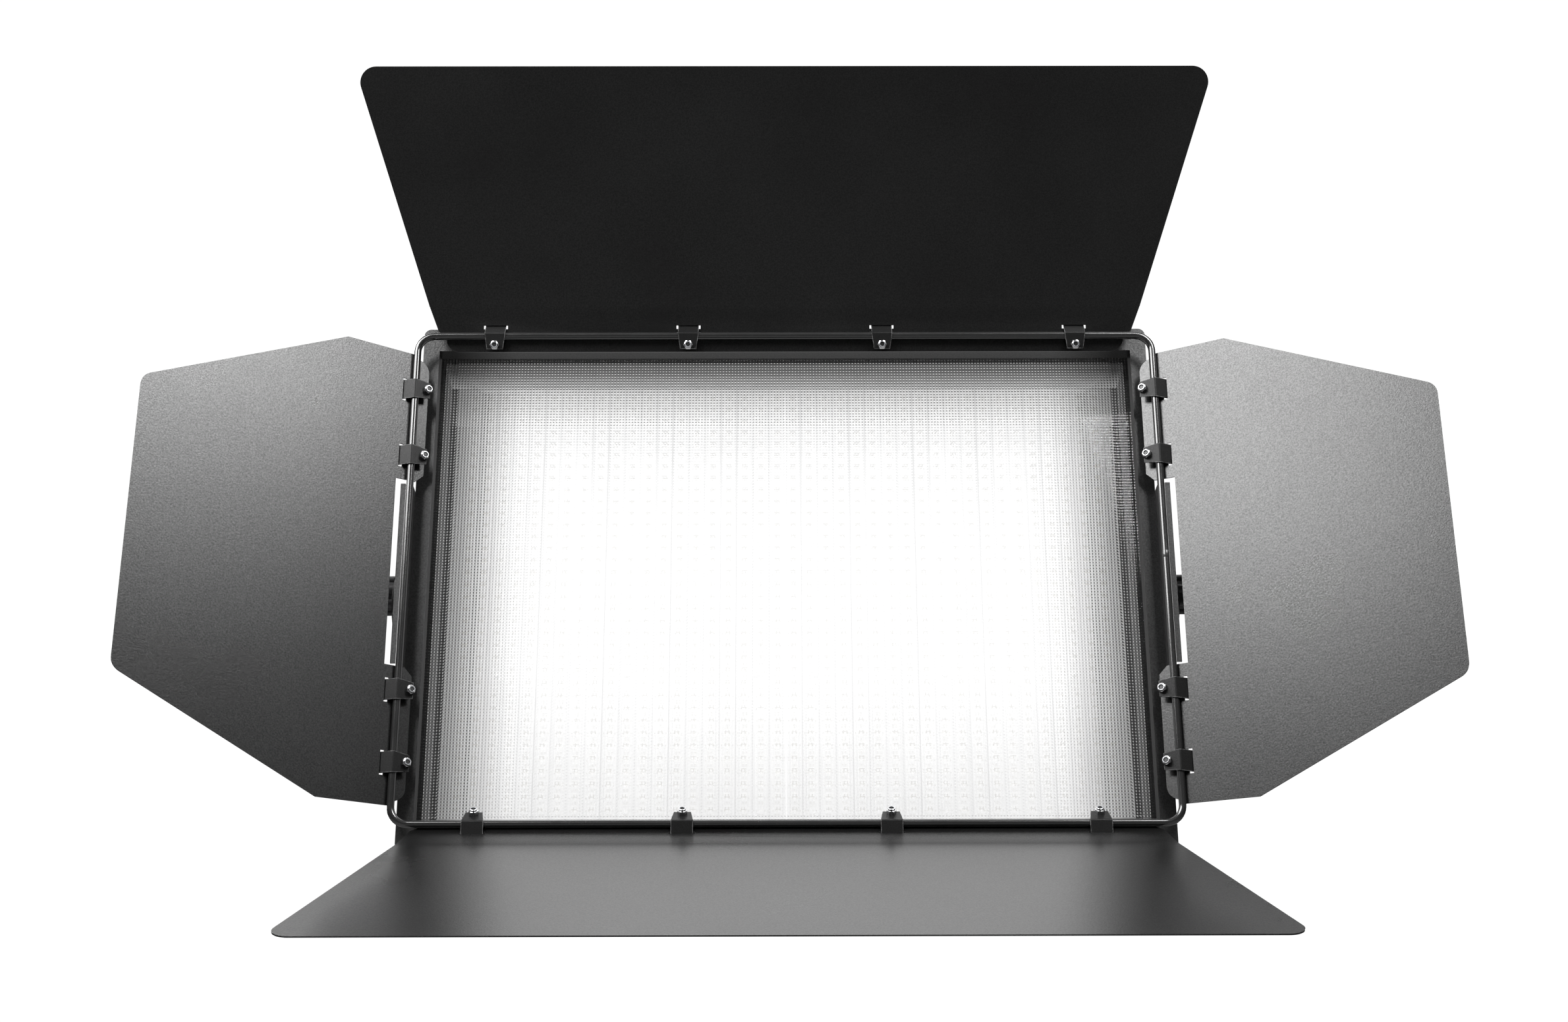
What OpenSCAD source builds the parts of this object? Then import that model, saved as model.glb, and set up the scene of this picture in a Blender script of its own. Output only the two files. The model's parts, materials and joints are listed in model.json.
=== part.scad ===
// LED soft panel light: a flat lit head with four barn door leaves on a wire
// hoop, carried in a U yoke with a 16 mm stand socket. Millimetres, +Z up,
// the light shines towards -Y. Origin: centre of the stand socket's mouth.

/* [Wire hoop] */
// hoop width between wire centres
hoop_w = 640; // [400:5:900]
// hoop height between wire centres
hoop_h = 437; // [280:1:600]
// wire radius
wire_r = 3.2; // [2:0.1:5]
// corner bend radius of the wire's centreline
hoop_bend = 15; // [8:1:30]

/* [Head] */
// distance from the hoop plane back to the bezel's front face
standoff = 20; // [18:1:40]
// bezel and housing outside width
head_w = 636; // [400:2:900]
// bezel and housing outside height
head_h = 470; // [300:2:640]
// outside corner radius
head_corner = 6; // [3:1:15]
// bezel opening width
window_w = 608; // [380:2:880]
// bezel opening height
window_h = 428; // [260:2:600]
// depth of the bezel's inner return down to the lens
window_depth = 16; // [6:1:30]
// sheet thickness of bezel and shell
skin = 1.5; // [1:0.1:3]
// depth of the whole housing, bezel face to rear wall
head_d = 130; // [110:2:180]

/* [Light engine] */
// lens sheet thickness
lens_t = 3; // [2:0.5:5]
// depth of the light box behind the lens
box_d = 55; // [35:1:80]
// distance from the LED boards' outer edges to the light box's outside
board_inset = 10; // [5:1:60]
// circuit board thickness
board_t = 1.6; // [1:0.1:3]
// heat plate thickness
plate_t = 2; // [2:0.5:6]
// heatsink fin count on each side
fins = 25; // [11:1:41]

/* [Barn doors] */
// leaf sheet thickness
leaf_t = 1.2; // [0.8:0.1:2]
// gap between wire and the parts that turn on it
run_gap = 0.06; // [0.02:0.01:0.1]
// tab length behind the wire
tab_len = 13.4; // [10:0.1:17]
// hinge strip length of the top and bottom leaves
strip_len = 27.8; // [15:0.1:50]
// main panel length of the top and bottom leaves
panel_len = 208; // [100:1:300]
// fold between strip and main panel, in degrees
fold = 10.8; // [0:0.1:25]
// top and bottom leaf width at the hinge
wide_hinge = 606; // [300:1:800]
// top and bottom leaf width at the fold
wide_fold = 623; // [300:1:820]
// top and bottom leaf width at the free edge
wide_end = 749; // [400:1:1000]
// side leaf height at the hinge
side_hinge = 404; // [200:1:600]
// side leaf height at its widest line
side_wide = 407; // [200:1:600]
// side leaf height at the free edge
side_end = 248; // [100:1:500]
// side leaf distance from the hinge to the widest line
side_wide_at = 63; // [30:1:120]
// side leaf distance from the hinge to the free edge
side_len = 237; // [120:1:350]
// half height of the side leaf's middle cut-out
cutout_half = 83.4; // [60:0.1:120]
// opening angle of the top leaf from straight ahead
open_top = 75; // [0:1:105]
// opening angle of the bottom leaf from straight ahead
open_bottom = 43; // [0:1:105]
// opening angle of the left leaf from straight ahead
open_left = 58; // [0:1:120]
// opening angle of the right leaf from straight ahead
open_right = 64; // [0:1:120]

/* [Clips] */
// clip strap width
clip_w = 18; // [12:1:30]
// clip sheet thickness
clip_t = 1.2; // [0.8:0.1:2]
// slope of the clip's outer leg, in degrees
clip_slope = 49; // [35:1:60]
// bolt position behind the wire
clip_bolt_at = 9; // [8.5:0.1:11]

/* [Yoke] */
// tilt axis distance behind the hoop plane
pivot_y = 62; // [50:1:80]
// arm length from tilt axis to crossbar face
yoke_len = 290; // [260:1:340]
// flat bar thickness
bar_t = 4; // [3:0.5:6]
// distance of the bar's upper edge above the tilt axis
bar_up = 18; // [14:1:30]
// distance of the bar's lower edge below the tilt axis
bar_down = 34; // [14:1:40]
// yoke angle below straight back, in degrees
yoke_drop = 35; // [0:1:60]
// tilt stud radius
stud_r = 5; // [4:0.5:6]
// stand socket bore radius
socket_r = 8.1; // [8:0.05:8.5]
// stand socket bore length
socket_len = 50; // [30:1:70]

/* [Rear controls] */
// panel plate width
ctrl_w = 120; // [90:1:160]
// panel plate height
ctrl_h = 330; // [250:1:400]
// height of the panel plate's centre
ctrl_z = 10; // [-40:1:40]
// push button radius
button_r = 4.5; // [3:0.5:7]
// encoder shaft radius
enc_shaft_r = 3; // [2:0.5:4]
// control knob radius
enc_knob_r = 11; // [8:0.5:16]

/* [Hidden] */
$fn = 48;
bezel_y = standoff;
lens_y = bezel_y + window_depth;
gasket_y = lens_y + lens_t;
box_y = gasket_y + 2;
board_y = box_y + box_d;
plate_y = board_y + board_t;
sink_y = plate_y + plate_t;
rear_y = bezel_y + head_d;
seam_y = bezel_y + 20;
lens_w = window_w + 8;
lens_h = window_h + 8;
core_w = head_w - 24;
core_h = head_h - 38;
wall_x = head_w / 2;
arm_x = wall_x + 13.55;
back_h = wire_r + run_gap;
clip_ends_wide = [-253, -84.5, 84.5, 253];
clip_ends_side = [-167, -105, 105, 167];
socket_tip = yoke_len + 52;
ctrl_y = rear_y + 2.5;
pcb_y = rear_y - 12;
button_x = [-22, 0, 22];
button_z = 92;
enc_x = 26;
enc_z = 48;
switch_z = -62;
switch_y = rear_y - 3;
inlet_z = -112;
data_x = 27;
data_z = -8;
vent_z0 = -182;
vent_pitch = 14;
vents = 27;
flange_t = 1.5;
bracket_half = 80.5;
bracket_t = 2;
rocker_r = 9.4;
slot_in = 7;
slot_out = 10.2;
slot_half = clip_w / 2 + 1.5;

// ---------- frames and shared shapes ----------

// yoke frame: tilt axis at its origin, arms along +Y, moved so that the
// socket's mouth lands on the row's origin
module in_yoke() {
  rotate([-yoke_drop, 0, 0])
    translate([0, -socket_tip, 0])
      children();
}

// head frame: origin at the centre of the hoop plane, head upright
module in_head() {
  rotate([-yoke_drop, 0, 0])
    translate([0, -socket_tip, 0])
      rotate([yoke_drop, 0, 0])
        translate([0, -pivot_y, 0])
          children();
}

// 2D outline in X and Z, made solid between two depths
module slab(y0, y1) {
  translate([0, y1, 0])
    rotate([90, 0, 0])
      linear_extrude(y1 - y0)
        children();
}

module round_rect(w, h, r) {
  square([w - 2 * r, h], center = true);
  square([w, h - 2 * r], center = true);
  for (sx = [-1, 1], sy = [-1, 1])
    translate([sx * (w / 2 - r), sy * (h / 2 - r)])
      circle(r);
}

module ring(w, h, r, t) {
  difference() {
    round_rect(w, h, r);
    round_rect(w - 2 * t, h - 2 * t, max(r - t, 0.5));
  }
}

module box(x0, x1, y0, y1, z0, z1) {
  translate([x0, y0, z0])
    cube([x1 - x0, y1 - y0, z1 - z0]);
}

module rod_x(x0, x1, r) {
  translate([x0, 0, 0])
    rotate([0, 90, 0])
      cylinder(r = r, h = x1 - x0);
}

module rod_y(y0, y1, r) {
  translate([0, y0, 0])
    rotate([-90, 0, 0])
      cylinder(r = r, h = y1 - y0);
}

module rod_z(z0, z1, r) {
  translate([0, 0, z0])
    cylinder(r = r, h = z1 - z0);
}

// pan head screw along +Y: head at y0, shank behind it
module pan_screw_y(y0, head_r, head_h, shank_r, shank_l) {
  rod_y(y0, y0 + head_h, head_r);
  rod_y(y0, y0 + head_h + shank_l, shank_r);
}

// ---------- wire hoop and its brackets ----------

module hoop_corner() {
  rotate_extrude(angle = 90)
    translate([hoop_bend, 0])
      circle(wire_r);
}

module hoop() {
  bx = hoop_w / 2 - hoop_bend;
  bz = hoop_h / 2 - hoop_bend;
  color("#1b1b1c")
    in_head()
      rotate([90, 0, 0])
        union() {
          for (s = [-1, 1]) {
            translate([-bx, s * hoop_h / 2, 0])
              rod_x(0, 2 * bx, wire_r);
            translate([s * hoop_w / 2, -bz, 0])
              rod_y(0, 2 * bz, wire_r);
          }
          translate([bx, bz, 0])
            hoop_corner();
          translate([-bx, bz, 0])
            rotate(90)
              hoop_corner();
          translate([-bx, -bz, 0])
            rotate(180)
              hoop_corner();
          translate([bx, -bz, 0])
            rotate(270)
              hoop_corner();
        }
}

module bracket_screw_axes() {
  for (z = [-62, -24, 24, 62])
    translate([0, bezel_y + 11, z])
      children();
}

// angle bracket: a flange on the housing side and a lip behind the wire
module bracket_right_shape() {
  x0 = wall_x + 0.2;
  lip_y = wire_r + 0.05;
  difference() {
    union() {
      box(x0, x0 + bracket_t, lip_y, seam_y - 1, -bracket_half, bracket_half);
      box(x0, x0 + 10, lip_y, lip_y + bracket_t, -bracket_half, bracket_half);
    }
    bracket_screw_axes()
      rod_x(x0 - 1, x0 + 3, 2.1);
  }
}

module bracket_right() {
  color("#161617")
    in_head()
      bracket_right_shape();
}

module bracket_left() {
  color("#161617")
    in_head()
      mirror([1, 0, 0])
        bracket_right_shape();
}

module bracket_screws() {
  x0 = wall_x + 0.2 + bracket_t;
  color("#8d8f92")
    in_head()
      for (s = [0, 1])
        mirror([s, 0, 0])
          bracket_screw_axes() {
            rod_x(x0, x0 + 2.2, 3.6);
            rod_x(x0 - 7, x0, 1.95);
          }
}

// ---------- front of the head ----------

module bezel_screw_axes() {
  for (s = [0, 1])
    mirror([s, 0, 0])
      for (z = [-190, 190])
        translate([wall_x, bezel_y + 13, z])
          rotate([0, 0, 90])
            children();
  for (s = [-1, 1], x = [-240, 0, 240])
    translate([x, bezel_y + 13, s * head_h / 2])
      rotate([-s * 90, 0, 0])
        children();
}

module bezel() {
  color("#1e1e20")
    in_head()
      difference() {
        union() {
          slab(bezel_y, bezel_y + skin)
            difference() {
              round_rect(head_w, head_h, head_corner);
              square([window_w, window_h], center = true);
            }
          slab(bezel_y, seam_y)
            ring(head_w, head_h, head_corner, skin);
          slab(bezel_y, lens_y)
            difference() {
              square([window_w + 2 * skin, window_h + 2 * skin], center = true);
              square([window_w, window_h], center = true);
            }
        }
        for (s = [0, 1])
          mirror([s, 0, 0])
            bracket_screw_axes()
              rod_x(wall_x - 5, wall_x + 1, 2.05);
        bezel_screw_axes()
          rod_y(-4, 4, 1.6);
      }
}

module bezel_screws() {
  color("#1a1a1b")
    in_head()
      bezel_screw_axes() {
        rod_y(-1.9, 0, 2.9);
        rod_y(-1.9, 5, 1.5);
      }
}

module lens() {
  color("#dfe6ea", 0.6)
    in_head()
      slab(lens_y, gasket_y)
        square([lens_w, lens_h], center = true);
}

module lens_gasket() {
  color("#2b2b2b")
    in_head()
      slab(gasket_y, box_y)
        difference() {
          square([lens_w, lens_h], center = true);
          square([lens_w - 16, lens_h - 16], center = true);
        }
}

// four walls, with an inward flange beside the boards on the left and right
module light_box() {
  color("#3a3a3c")
    in_head()
      union() {
        slab(box_y, board_y)
          difference() {
            square([core_w, core_h], center = true);
            square([core_w - 8, core_h - 8], center = true);
          }
        for (sx = [-1, 1])
          translate([sx * (core_w - board_inset) / 2, board_y - flange_t / 2, 0])
            cube([board_inset, flange_t, core_h], center = true);
      }
}

// ---------- light engine ----------

module board_screw_axes() {
  for (sx = [-1, 1], x = [26, 138, 250], z = [-186, -62, 62, 186])
    translate([sx * x, board_y, z])
      children();
}

module led_board_right_shape() {
  difference() {
    box(0.5, core_w / 2 - board_inset, board_y, plate_y, 5 - core_h / 2, core_h / 2 - 5);
    board_screw_axes()
      rod_y(-1, board_t + 1, 1.65);
  }
}

module led_board_right() {
  color("#e9ecea")
    in_head()
      led_board_right_shape();
}

module led_board_left() {
  color("#e9ecea")
    in_head()
      mirror([1, 0, 0])
        led_board_right_shape();
}

module board_screws() {
  color("#b9bbbd")
    in_head()
      board_screw_axes()
        pan_screw_y(-1.6, 2.7, 1.6, 1.5, board_t + plate_t - 0.4);
}

module heat_plate() {
  color("#b5b7ba")
    in_head()
      difference() {
        slab(plate_y, sink_y)
          square([core_w, core_h], center = true);
        board_screw_axes()
          rod_y(board_t - 0.5, board_t + plate_t + 0.5, 1.55);
      }
}

module heatsink_right_shape() {
  x0 = 66;
  x1 = core_w / 2 - 16;
  half = core_h / 2 - 21;
  fin_t = 1.2;
  step = (x1 - x0 - fin_t) / (fins - 1);
  box(x0, x1, sink_y, sink_y + 3, -half, half);
  for (i = [0 : fins - 1])
    box(x0 + i * step, x0 + i * step + fin_t, sink_y + 2, rear_y - 8, -half, half);
}

module heatsink_right() {
  color("#a9abae")
    in_head()
      heatsink_right_shape();
}

module heatsink_left() {
  color("#a9abae")
    in_head()
      mirror([1, 0, 0])
        heatsink_right_shape();
}

module power_supply() {
  color("#c3c5c7")
    in_head()
      union() {
        box(-46, 46, sink_y, sink_y + 24, -190, -40);
        for (x = [-30, 0, 30])
          box(x - 6, x + 6, sink_y + 24, sink_y + 27, -60, -46);
      }
}

module driver_board() {
  color("#1f5b3a")
    in_head()
      union() {
        box(-46, 46, sink_y + 6, sink_y + 6 + board_t, -30, 90);
        for (z = [-18, 78], x = [-40, 40])
          translate([x, 0, z])
            rod_y(sink_y, sink_y + 6.5, 3);
        box(-34, -10, sink_y + 7, sink_y + 24, -10, 14);
        box(8, 32, sink_y + 7, sink_y + 24, -10, 14);
        for (x = [-30, -10, 10, 30])
          translate([x, 0, 50])
            rod_y(sink_y + 7, sink_y + 27, 6);
      }
}

// ---------- rear shell ----------

module vent_slots() {
  for (sx = [-1, 1], i = [0 : vents - 1])
    box(sx * 178 - 102, sx * 178 + 102, rear_y - 4, rear_y + 1,
      vent_z0 + i * vent_pitch - 3, vent_z0 + i * vent_pitch + 3);
  for (sx = [-1, 1], i = [0 : 11])
    box(sx * (76 + i * 19) - 3, sx * (76 + i * 19) + 3, sink_y + 4, rear_y - 12,
      -head_h, head_h);
}

module rear_shell() {
  color("#232325")
    in_head()
      difference() {
        union() {
          slab(seam_y, rear_y)
            ring(head_w, head_h, head_corner, 2);
          slab(seam_y - 11, seam_y + 6)
            ring(head_w - 3.4, head_h - 3.4, head_corner - 1.7, 2);
          slab(rear_y - 2, rear_y)
            difference() {
              round_rect(head_w, head_h, head_corner);
              translate([0, ctrl_z])
                square([ctrl_w - 16, ctrl_h - 16], center = true);
            }
          for (sx = [-1, 1])
            box(sx * 310 - 7, sx * 310 + 7, sink_y, sink_y + 6, -200, 200);
        }
        vent_slots();
        for (s = [0, 1])
          mirror([s, 0, 0]) {
            bracket_screw_axes()
              rod_x(wall_x - 7, wall_x + 1, 2.05);
            translate([wall_x, pivot_y, 0])
              rod_x(-4, 4, 6.5);
          }
        bezel_screw_axes()
          rod_y(-4, 7, 1.6);
        panel_screw_axes()
          rod_y(rear_y - 3, rear_y + 1, 1.6);
      }
}

// ---------- rear controls ----------

module panel_screw_axes() {
  for (x = [-1, 1], z = [-1, 0, 1])
    translate([x * (ctrl_w / 2 - 4), 0, ctrl_z + z * (ctrl_h / 2 - 6)])
      children();
}

module panel_openings() {
  translate([0, ctrl_y - 1, 130])
    cube([64, 10, 36], center = true);
  for (x = button_x)
    translate([x, 0, button_z])
      rod_y(rear_y - 1, ctrl_y + 1, button_r + 0.05);
  for (s = [-1, 1])
    translate([s * enc_x, 0, enc_z])
      rod_y(rear_y - 1, ctrl_y + 1, 3.9);
  for (s = [-1, 1])
    translate([s * data_x, 0, data_z])
      rod_y(rear_y - 1, ctrl_y + 1, 11.6);
  translate([0, 0, inlet_z])
    rod_y(rear_y - 1, ctrl_y + 1, 13);
  translate([0, ctrl_y - 1, switch_z])
    cube([19.4, 10, 27.4], center = true);
}

module control_panel() {
  color("#2a2b2d")
    in_head()
      difference() {
        slab(rear_y, ctrl_y)
          translate([0, ctrl_z])
            round_rect(ctrl_w, ctrl_h, 5);
        panel_openings();
        panel_screw_axes()
          rod_y(rear_y - 1, ctrl_y + 1, 1.7);
      }
}

module panel_screws() {
  color("#8d8f92")
    in_head()
      panel_screw_axes() {
        rod_y(ctrl_y, ctrl_y + 1.8, 2.8);
        rod_y(rear_y - 5, ctrl_y + 1, 1.5);
      }
}

module display() {
  color("#0c1116")
    in_head()
      union() {
        box(-37, 37, rear_y - 7, rear_y - 0.2, 107, 153);
        box(-31.8, 31.8, rear_y - 1, ctrl_y - 0.4, 112.2, 147.8);
      }
}

module control_board() {
  color("#1f5b3a")
    in_head()
      union() {
        box(-46, 46, pcb_y, pcb_y + board_t, 22, 160);
        for (x = button_x)
          box(x - 3, x + 3, pcb_y + 1, rear_y - 7.6, button_z - 3, button_z + 3);
        box(-40, -20, pcb_y - 5, pcb_y + 0.5, 120, 140);
        box(10, 24, pcb_y - 4, pcb_y + 0.5, 122, 136);
      }
}

module encoders() {
  color("#9a9c9f")
    in_head()
      for (s = [-1, 1])
        translate([s * enc_x, 0, enc_z])
          difference() {
            union() {
              box(-6.5, 6.5, pcb_y + board_t, rear_y - 0.5, -6.5, 6.5);
              rod_y(rear_y - 1, ctrl_y + 4, 3.7);
            }
            rod_y(pcb_y + board_t + 2, ctrl_y + 5, enc_shaft_r + 0.05);
          }
}

module knob_shape() {
  difference() {
    union() {
      rod_y(ctrl_y + 4.4, ctrl_y + 17, enc_knob_r - 0.8);
      rod_y(ctrl_y + 0.6, ctrl_y + 4.6, enc_knob_r);
      for (i = [0 : 17])
        rotate([0, i * 20, 0])
          translate([enc_knob_r - 1.1, 0, 0])
            rod_y(ctrl_y + 4, ctrl_y + 16, 0.9);
    }
    rod_y(ctrl_y, ctrl_y + 4.4, 5.5);
  }
  rod_y(pcb_y + board_t + 2.5, ctrl_y + 8, enc_shaft_r);
}

module knob_level() {
  color("#1c1c1d")
    in_head()
      translate([enc_x, 0, enc_z])
        knob_shape();
}

module knob_colour() {
  color("#1c1c1d")
    in_head()
      translate([-enc_x, 0, enc_z])
        knob_shape();
}

module button_shape(i) {
  color("#3c3d40")
    in_head()
      translate([button_x[i], 0, button_z])
        union() {
          rod_y(rear_y - 3, ctrl_y + 2.4, button_r);
          rod_y(rear_y - 1.4, rear_y - 0.1, button_r + 1.3);
          rod_y(rear_y - 6.4, rear_y - 3, 2);
        }
}

module button_1() {
  button_shape(0);
}

module button_2() {
  button_shape(1);
}

module button_3() {
  button_shape(2);
}

module switch_frame() {
  color("#141415")
    in_head()
      translate([0, 0, switch_z])
        difference() {
          union() {
            box(-9.5, 9.5, rear_y - 20, ctrl_y + 0.5, -13.5, 13.5);
            box(-12, 12, ctrl_y, ctrl_y + 2, -16, 16);
          }
          box(-7, 7, switch_y - 11, ctrl_y + 3, -10.5, 10.5);
          translate([0, switch_y, 0])
            rod_x(-8.6, 8.6, 1.55);
        }
}

module switch_rocker() {
  color("#a02020")
    in_head()
      translate([0, switch_y, switch_z])
        rotate([8, 0, 0])
          union() {
            difference() {
              rod_x(-6.7, 6.7, rocker_r);
              for (s = [0, 1])
                mirror([0, 0, s])
                  translate([-10, 7.2, 0])
                    rotate([-12, 0, 0])
                      cube([20, 10, 20]);
              box(-10, 10, -12, -4, -12, 12);
            }
            rod_x(-8.4, 8.4, 1.5);
          }
}

module power_inlet() {
  color("#2f5f9a")
    in_head()
      translate([0, 0, inlet_z])
        difference() {
          union() {
            rod_y(rear_y - 25, ctrl_y + 3, 12.6);
            box(-13.5, 13.5, ctrl_y, ctrl_y + 2, -16, 16);
          }
          difference() {
            rod_y(rear_y - 14, ctrl_y + 4, 10);
            rod_y(rear_y - 15, ctrl_y - 1, 5.5);
          }
        }
}

module data_sockets() {
  color("#7c7e82")
    in_head()
      for (s = [-1, 1])
        translate([s * data_x, 0, data_z])
          difference() {
            union() {
              rod_y(rear_y - 22, ctrl_y + 2.5, 11.2);
              box(-13, 13, ctrl_y, ctrl_y + 1.8, -15.5, 15.5);
            }
            rod_y(rear_y - 12, ctrl_y + 4, 8.6);
          }
}

// forged eye on the rear wall for a safety cable
module safety_eye() {
  color("#8d8f92")
    in_head()
      difference() {
        union() {
          box(-20, 20, rear_y, rear_y + 2.5, 196, 214);
          box(-11, 11, rear_y + 2, rear_y + 9, 203.5, 206.5);
          translate([0, rear_y + 9, 0])
            rod_z(203.5, 206.5, 11);
        }
        translate([0, rear_y + 9, 0])
          rod_z(200, 210, 6);
        box(-12, 12, rear_y - 4, rear_y, 200, 210);
      }
}

// ---------- tilt joint ----------

module boss_right_shape() {
  translate([0, pivot_y, 0])
    difference() {
      union() {
        rod_x(wall_x, wall_x + 12.5, 20);
        rod_x(wall_x - 10, wall_x, 6.3);
      }
      rod_x(wall_x - 12, wall_x + 13, stud_r + 0.05);
    }
}

module boss_right() {
  color("#1e1e20")
    in_head()
      boss_right_shape();
}

module boss_left() {
  color("#1e1e20")
    in_head()
      mirror([1, 0, 0])
        boss_right_shape();
}

module tilt_washers() {
  color("#4a3b2c")
    in_head()
      for (s = [0, 1])
        mirror([s, 0, 0])
          translate([0, pivot_y, 0])
            difference() {
              rod_x(wall_x + 12.5, wall_x + 13.5, 16);
              rod_x(wall_x + 12, wall_x + 14, stud_r + 0.3);
            }
}

module tilt_knob_right_shape() {
  x0 = arm_x + bar_t + 0.05;
  translate([0, pivot_y, 0]) {
    rod_x(wall_x - 11, x0 + 6, stud_r);
    rod_x(x0, x0 + 4, 12);
    rod_x(x0 + 0.8, x0 + 17, 15.4);
    for (i = [0 : 7])
      rotate([i * 45, 0, 0])
        translate([0, 14, 0])
          rod_x(x0 + 0.8, x0 + 15.5, 4);
  }
}

module tilt_knob_right() {
  color("#141415")
    in_head()
      tilt_knob_right_shape();
}

module tilt_knob_left() {
  color("#141415")
    in_head()
      mirror([1, 0, 0])
        tilt_knob_right_shape();
}

// ---------- yoke ----------

// U shaped bar seen along its width, arms along +Y
module yoke_outline() {
  bend = 14;
  wx = arm_x + bar_t;
  difference() {
    union() {
      translate([-wx, -bar_up])
        square([2 * wx, yoke_len + bar_up - bend]);
      translate([-wx + bend, 0])
        square([2 * (wx - bend), yoke_len]);
      for (s = [-1, 1])
        translate([s * (wx - bend), yoke_len - bend])
          circle(bend);
    }
    translate([-arm_x, -bar_up - 1])
      square([2 * arm_x, yoke_len + bar_up + 1 - bend]);
    translate([-arm_x + bend - bar_t, 0])
      square([2 * (arm_x - bend + bar_t), yoke_len - bar_t]);
    for (s = [-1, 1])
      translate([s * (wx - bend), yoke_len - bend])
        circle(bend - bar_t);
  }
}

// bar seen from the side, both corners of the arm end rounded
module arm_profile() {
  low_r = 24;
  circle(bar_up);
  translate([low_r - bar_up, low_r - bar_down])
    circle(low_r);
  translate([-bar_up, low_r - bar_down])
    square([bar_up, bar_down - low_r]);
  translate([0, low_r - bar_down])
    square([yoke_len + 1, bar_up + bar_down - low_r]);
  translate([low_r - bar_up, -bar_down])
    square([yoke_len + 1, bar_up + bar_down]);
}

module socket_screw_axes() {
  for (x = [-24, 24], z = [-24, 8])
    translate([x, yoke_len, z])
      children();
}

module yoke() {
  color("#1e1e20")
    in_yoke()
      difference() {
        intersection() {
          translate([0, 0, -bar_down - 1])
            linear_extrude(bar_up + bar_down + 2)
              yoke_outline();
          translate([-400, 0, 0])
            rotate([90, 0, 90])
              linear_extrude(800)
                arm_profile();
        }
        rod_x(-400, 400, stud_r + 0.05);
        socket_screw_axes()
          rod_y(-bar_t - 1, 1, 3.1);
      }
}

// receiver for a 16 mm stand spigot, bolted to the crossbar
module stand_socket() {
  color("#2a2a2c")
    in_yoke()
      difference() {
        union() {
          translate([-33, yoke_len, -33])
            cube([66, 7, 50]);
          rod_y(yoke_len, socket_tip, 17);
          translate([0, yoke_len + 32, 0])
            rod_z(0, 24, 9);
        }
        rod_y(socket_tip - socket_len, socket_tip + 1, socket_r);
        translate([0, yoke_len + 32, 0])
          rod_z(4, 25, 4.05);
        socket_screw_axes()
          rod_y(-1, 8, 3.1);
      }
}

module socket_screws() {
  color("#8d8f92")
    in_yoke()
      socket_screw_axes() {
        rod_y(7, 12, 5);
        rod_y(-bar_t - 6, 7, 2.95);
        rotate([90, 0, 0])
          translate([0, 0, bar_t])
            cylinder(r = 5.7, h = 5, $fn = 6);
      }
}

module socket_lock() {
  color("#141415")
    in_yoke()
      translate([0, yoke_len + 32, 0])
        union() {
          rod_z(10, 34, 4);
          rod_z(26, 40, 10);
          translate([0, 0, 34])
            rod_x(-20, 20, 4.5);
        }
}

// ---------- barn door leaves ----------

// hinge frame: wire along X, the leaf runs out along +Y, lit side is +Z
module hinge_top() {
  in_head()
    translate([0, 0, hoop_h / 2])
      rotate([180 - open_top, 0, 0])
        children();
}

module hinge_bottom() {
  in_head()
    rotate([0, 180, 0])
      translate([0, 0, hoop_h / 2])
        rotate([180 - open_bottom, 0, 0])
          children();
}

module hinge_right() {
  in_head()
    rotate([0, 90, 0])
      translate([0, 0, hoop_w / 2])
        rotate([180 - open_right, 0, 0])
          children();
}

module hinge_left() {
  in_head()
    rotate([0, -90, 0])
      translate([0, 0, hoop_w / 2])
        rotate([180 - open_left, 0, 0])
          children();
}

module clip_cuts(places) {
  for (x = places) {
    translate([x - slot_half, slot_in])
      square([2 * slot_half, slot_out - slot_in]);
    translate([x, -clip_bolt_at])
      circle(2.1);
  }
}

module sheet() {
  translate([0, 0, -back_h - leaf_t])
    linear_extrude(leaf_t)
      children();
}

module tab_outline(x0, x1) {
  r = 12;
  translate([x0, -tab_len + r])
    square([x1 - x0, tab_len - r + 1]);
  translate([x0 + r, -tab_len])
    square([x1 - x0 - 2 * r, r + 1]);
  for (x = [x0 + r, x1 - r])
    translate([x, -tab_len + r])
      circle(r);
}

module strip_outline() {
  h = wide_hinge / 2;
  f = wide_fold / 2;
  difference() {
    union() {
      polygon([[-h + 6, 0], [h - 6, 0], [h, 5], [f, strip_len],
        [-f, strip_len], [-h, 5]]);
      tab_outline(-296, 296);
    }
    clip_cuts(clip_ends_wide);
  }
}

// flared panel with rounded outer corners
module panel_outline() {
  f = wide_fold / 2;
  e = wide_end / 2;
  r = 14;
  slope = atan((e - f) / panel_len);
  cx = e - r * (1 + sin(slope)) / cos(slope);
  cy = panel_len - r;
  tx = cx + r * cos(slope);
  ty = cy - r * sin(slope);
  polygon([[-f, 0], [f, 0], [tx, ty], [cx, panel_len],
    [-cx, panel_len], [-tx, ty]]);
  for (s = [-1, 1])
    translate([s * cx, cy])
      circle(r);
}

module wide_leaf() {
  union() {
    sheet()
      strip_outline();
    translate([0, strip_len, -back_h - leaf_t / 2])
      rotate([fold, 0, 0]) {
        translate([0, 0, -leaf_t / 2])
          linear_extrude(leaf_t)
            panel_outline();
        rod_x(-wide_fold / 2, wide_fold / 2, leaf_t / 2);
      }
  }
}

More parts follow.
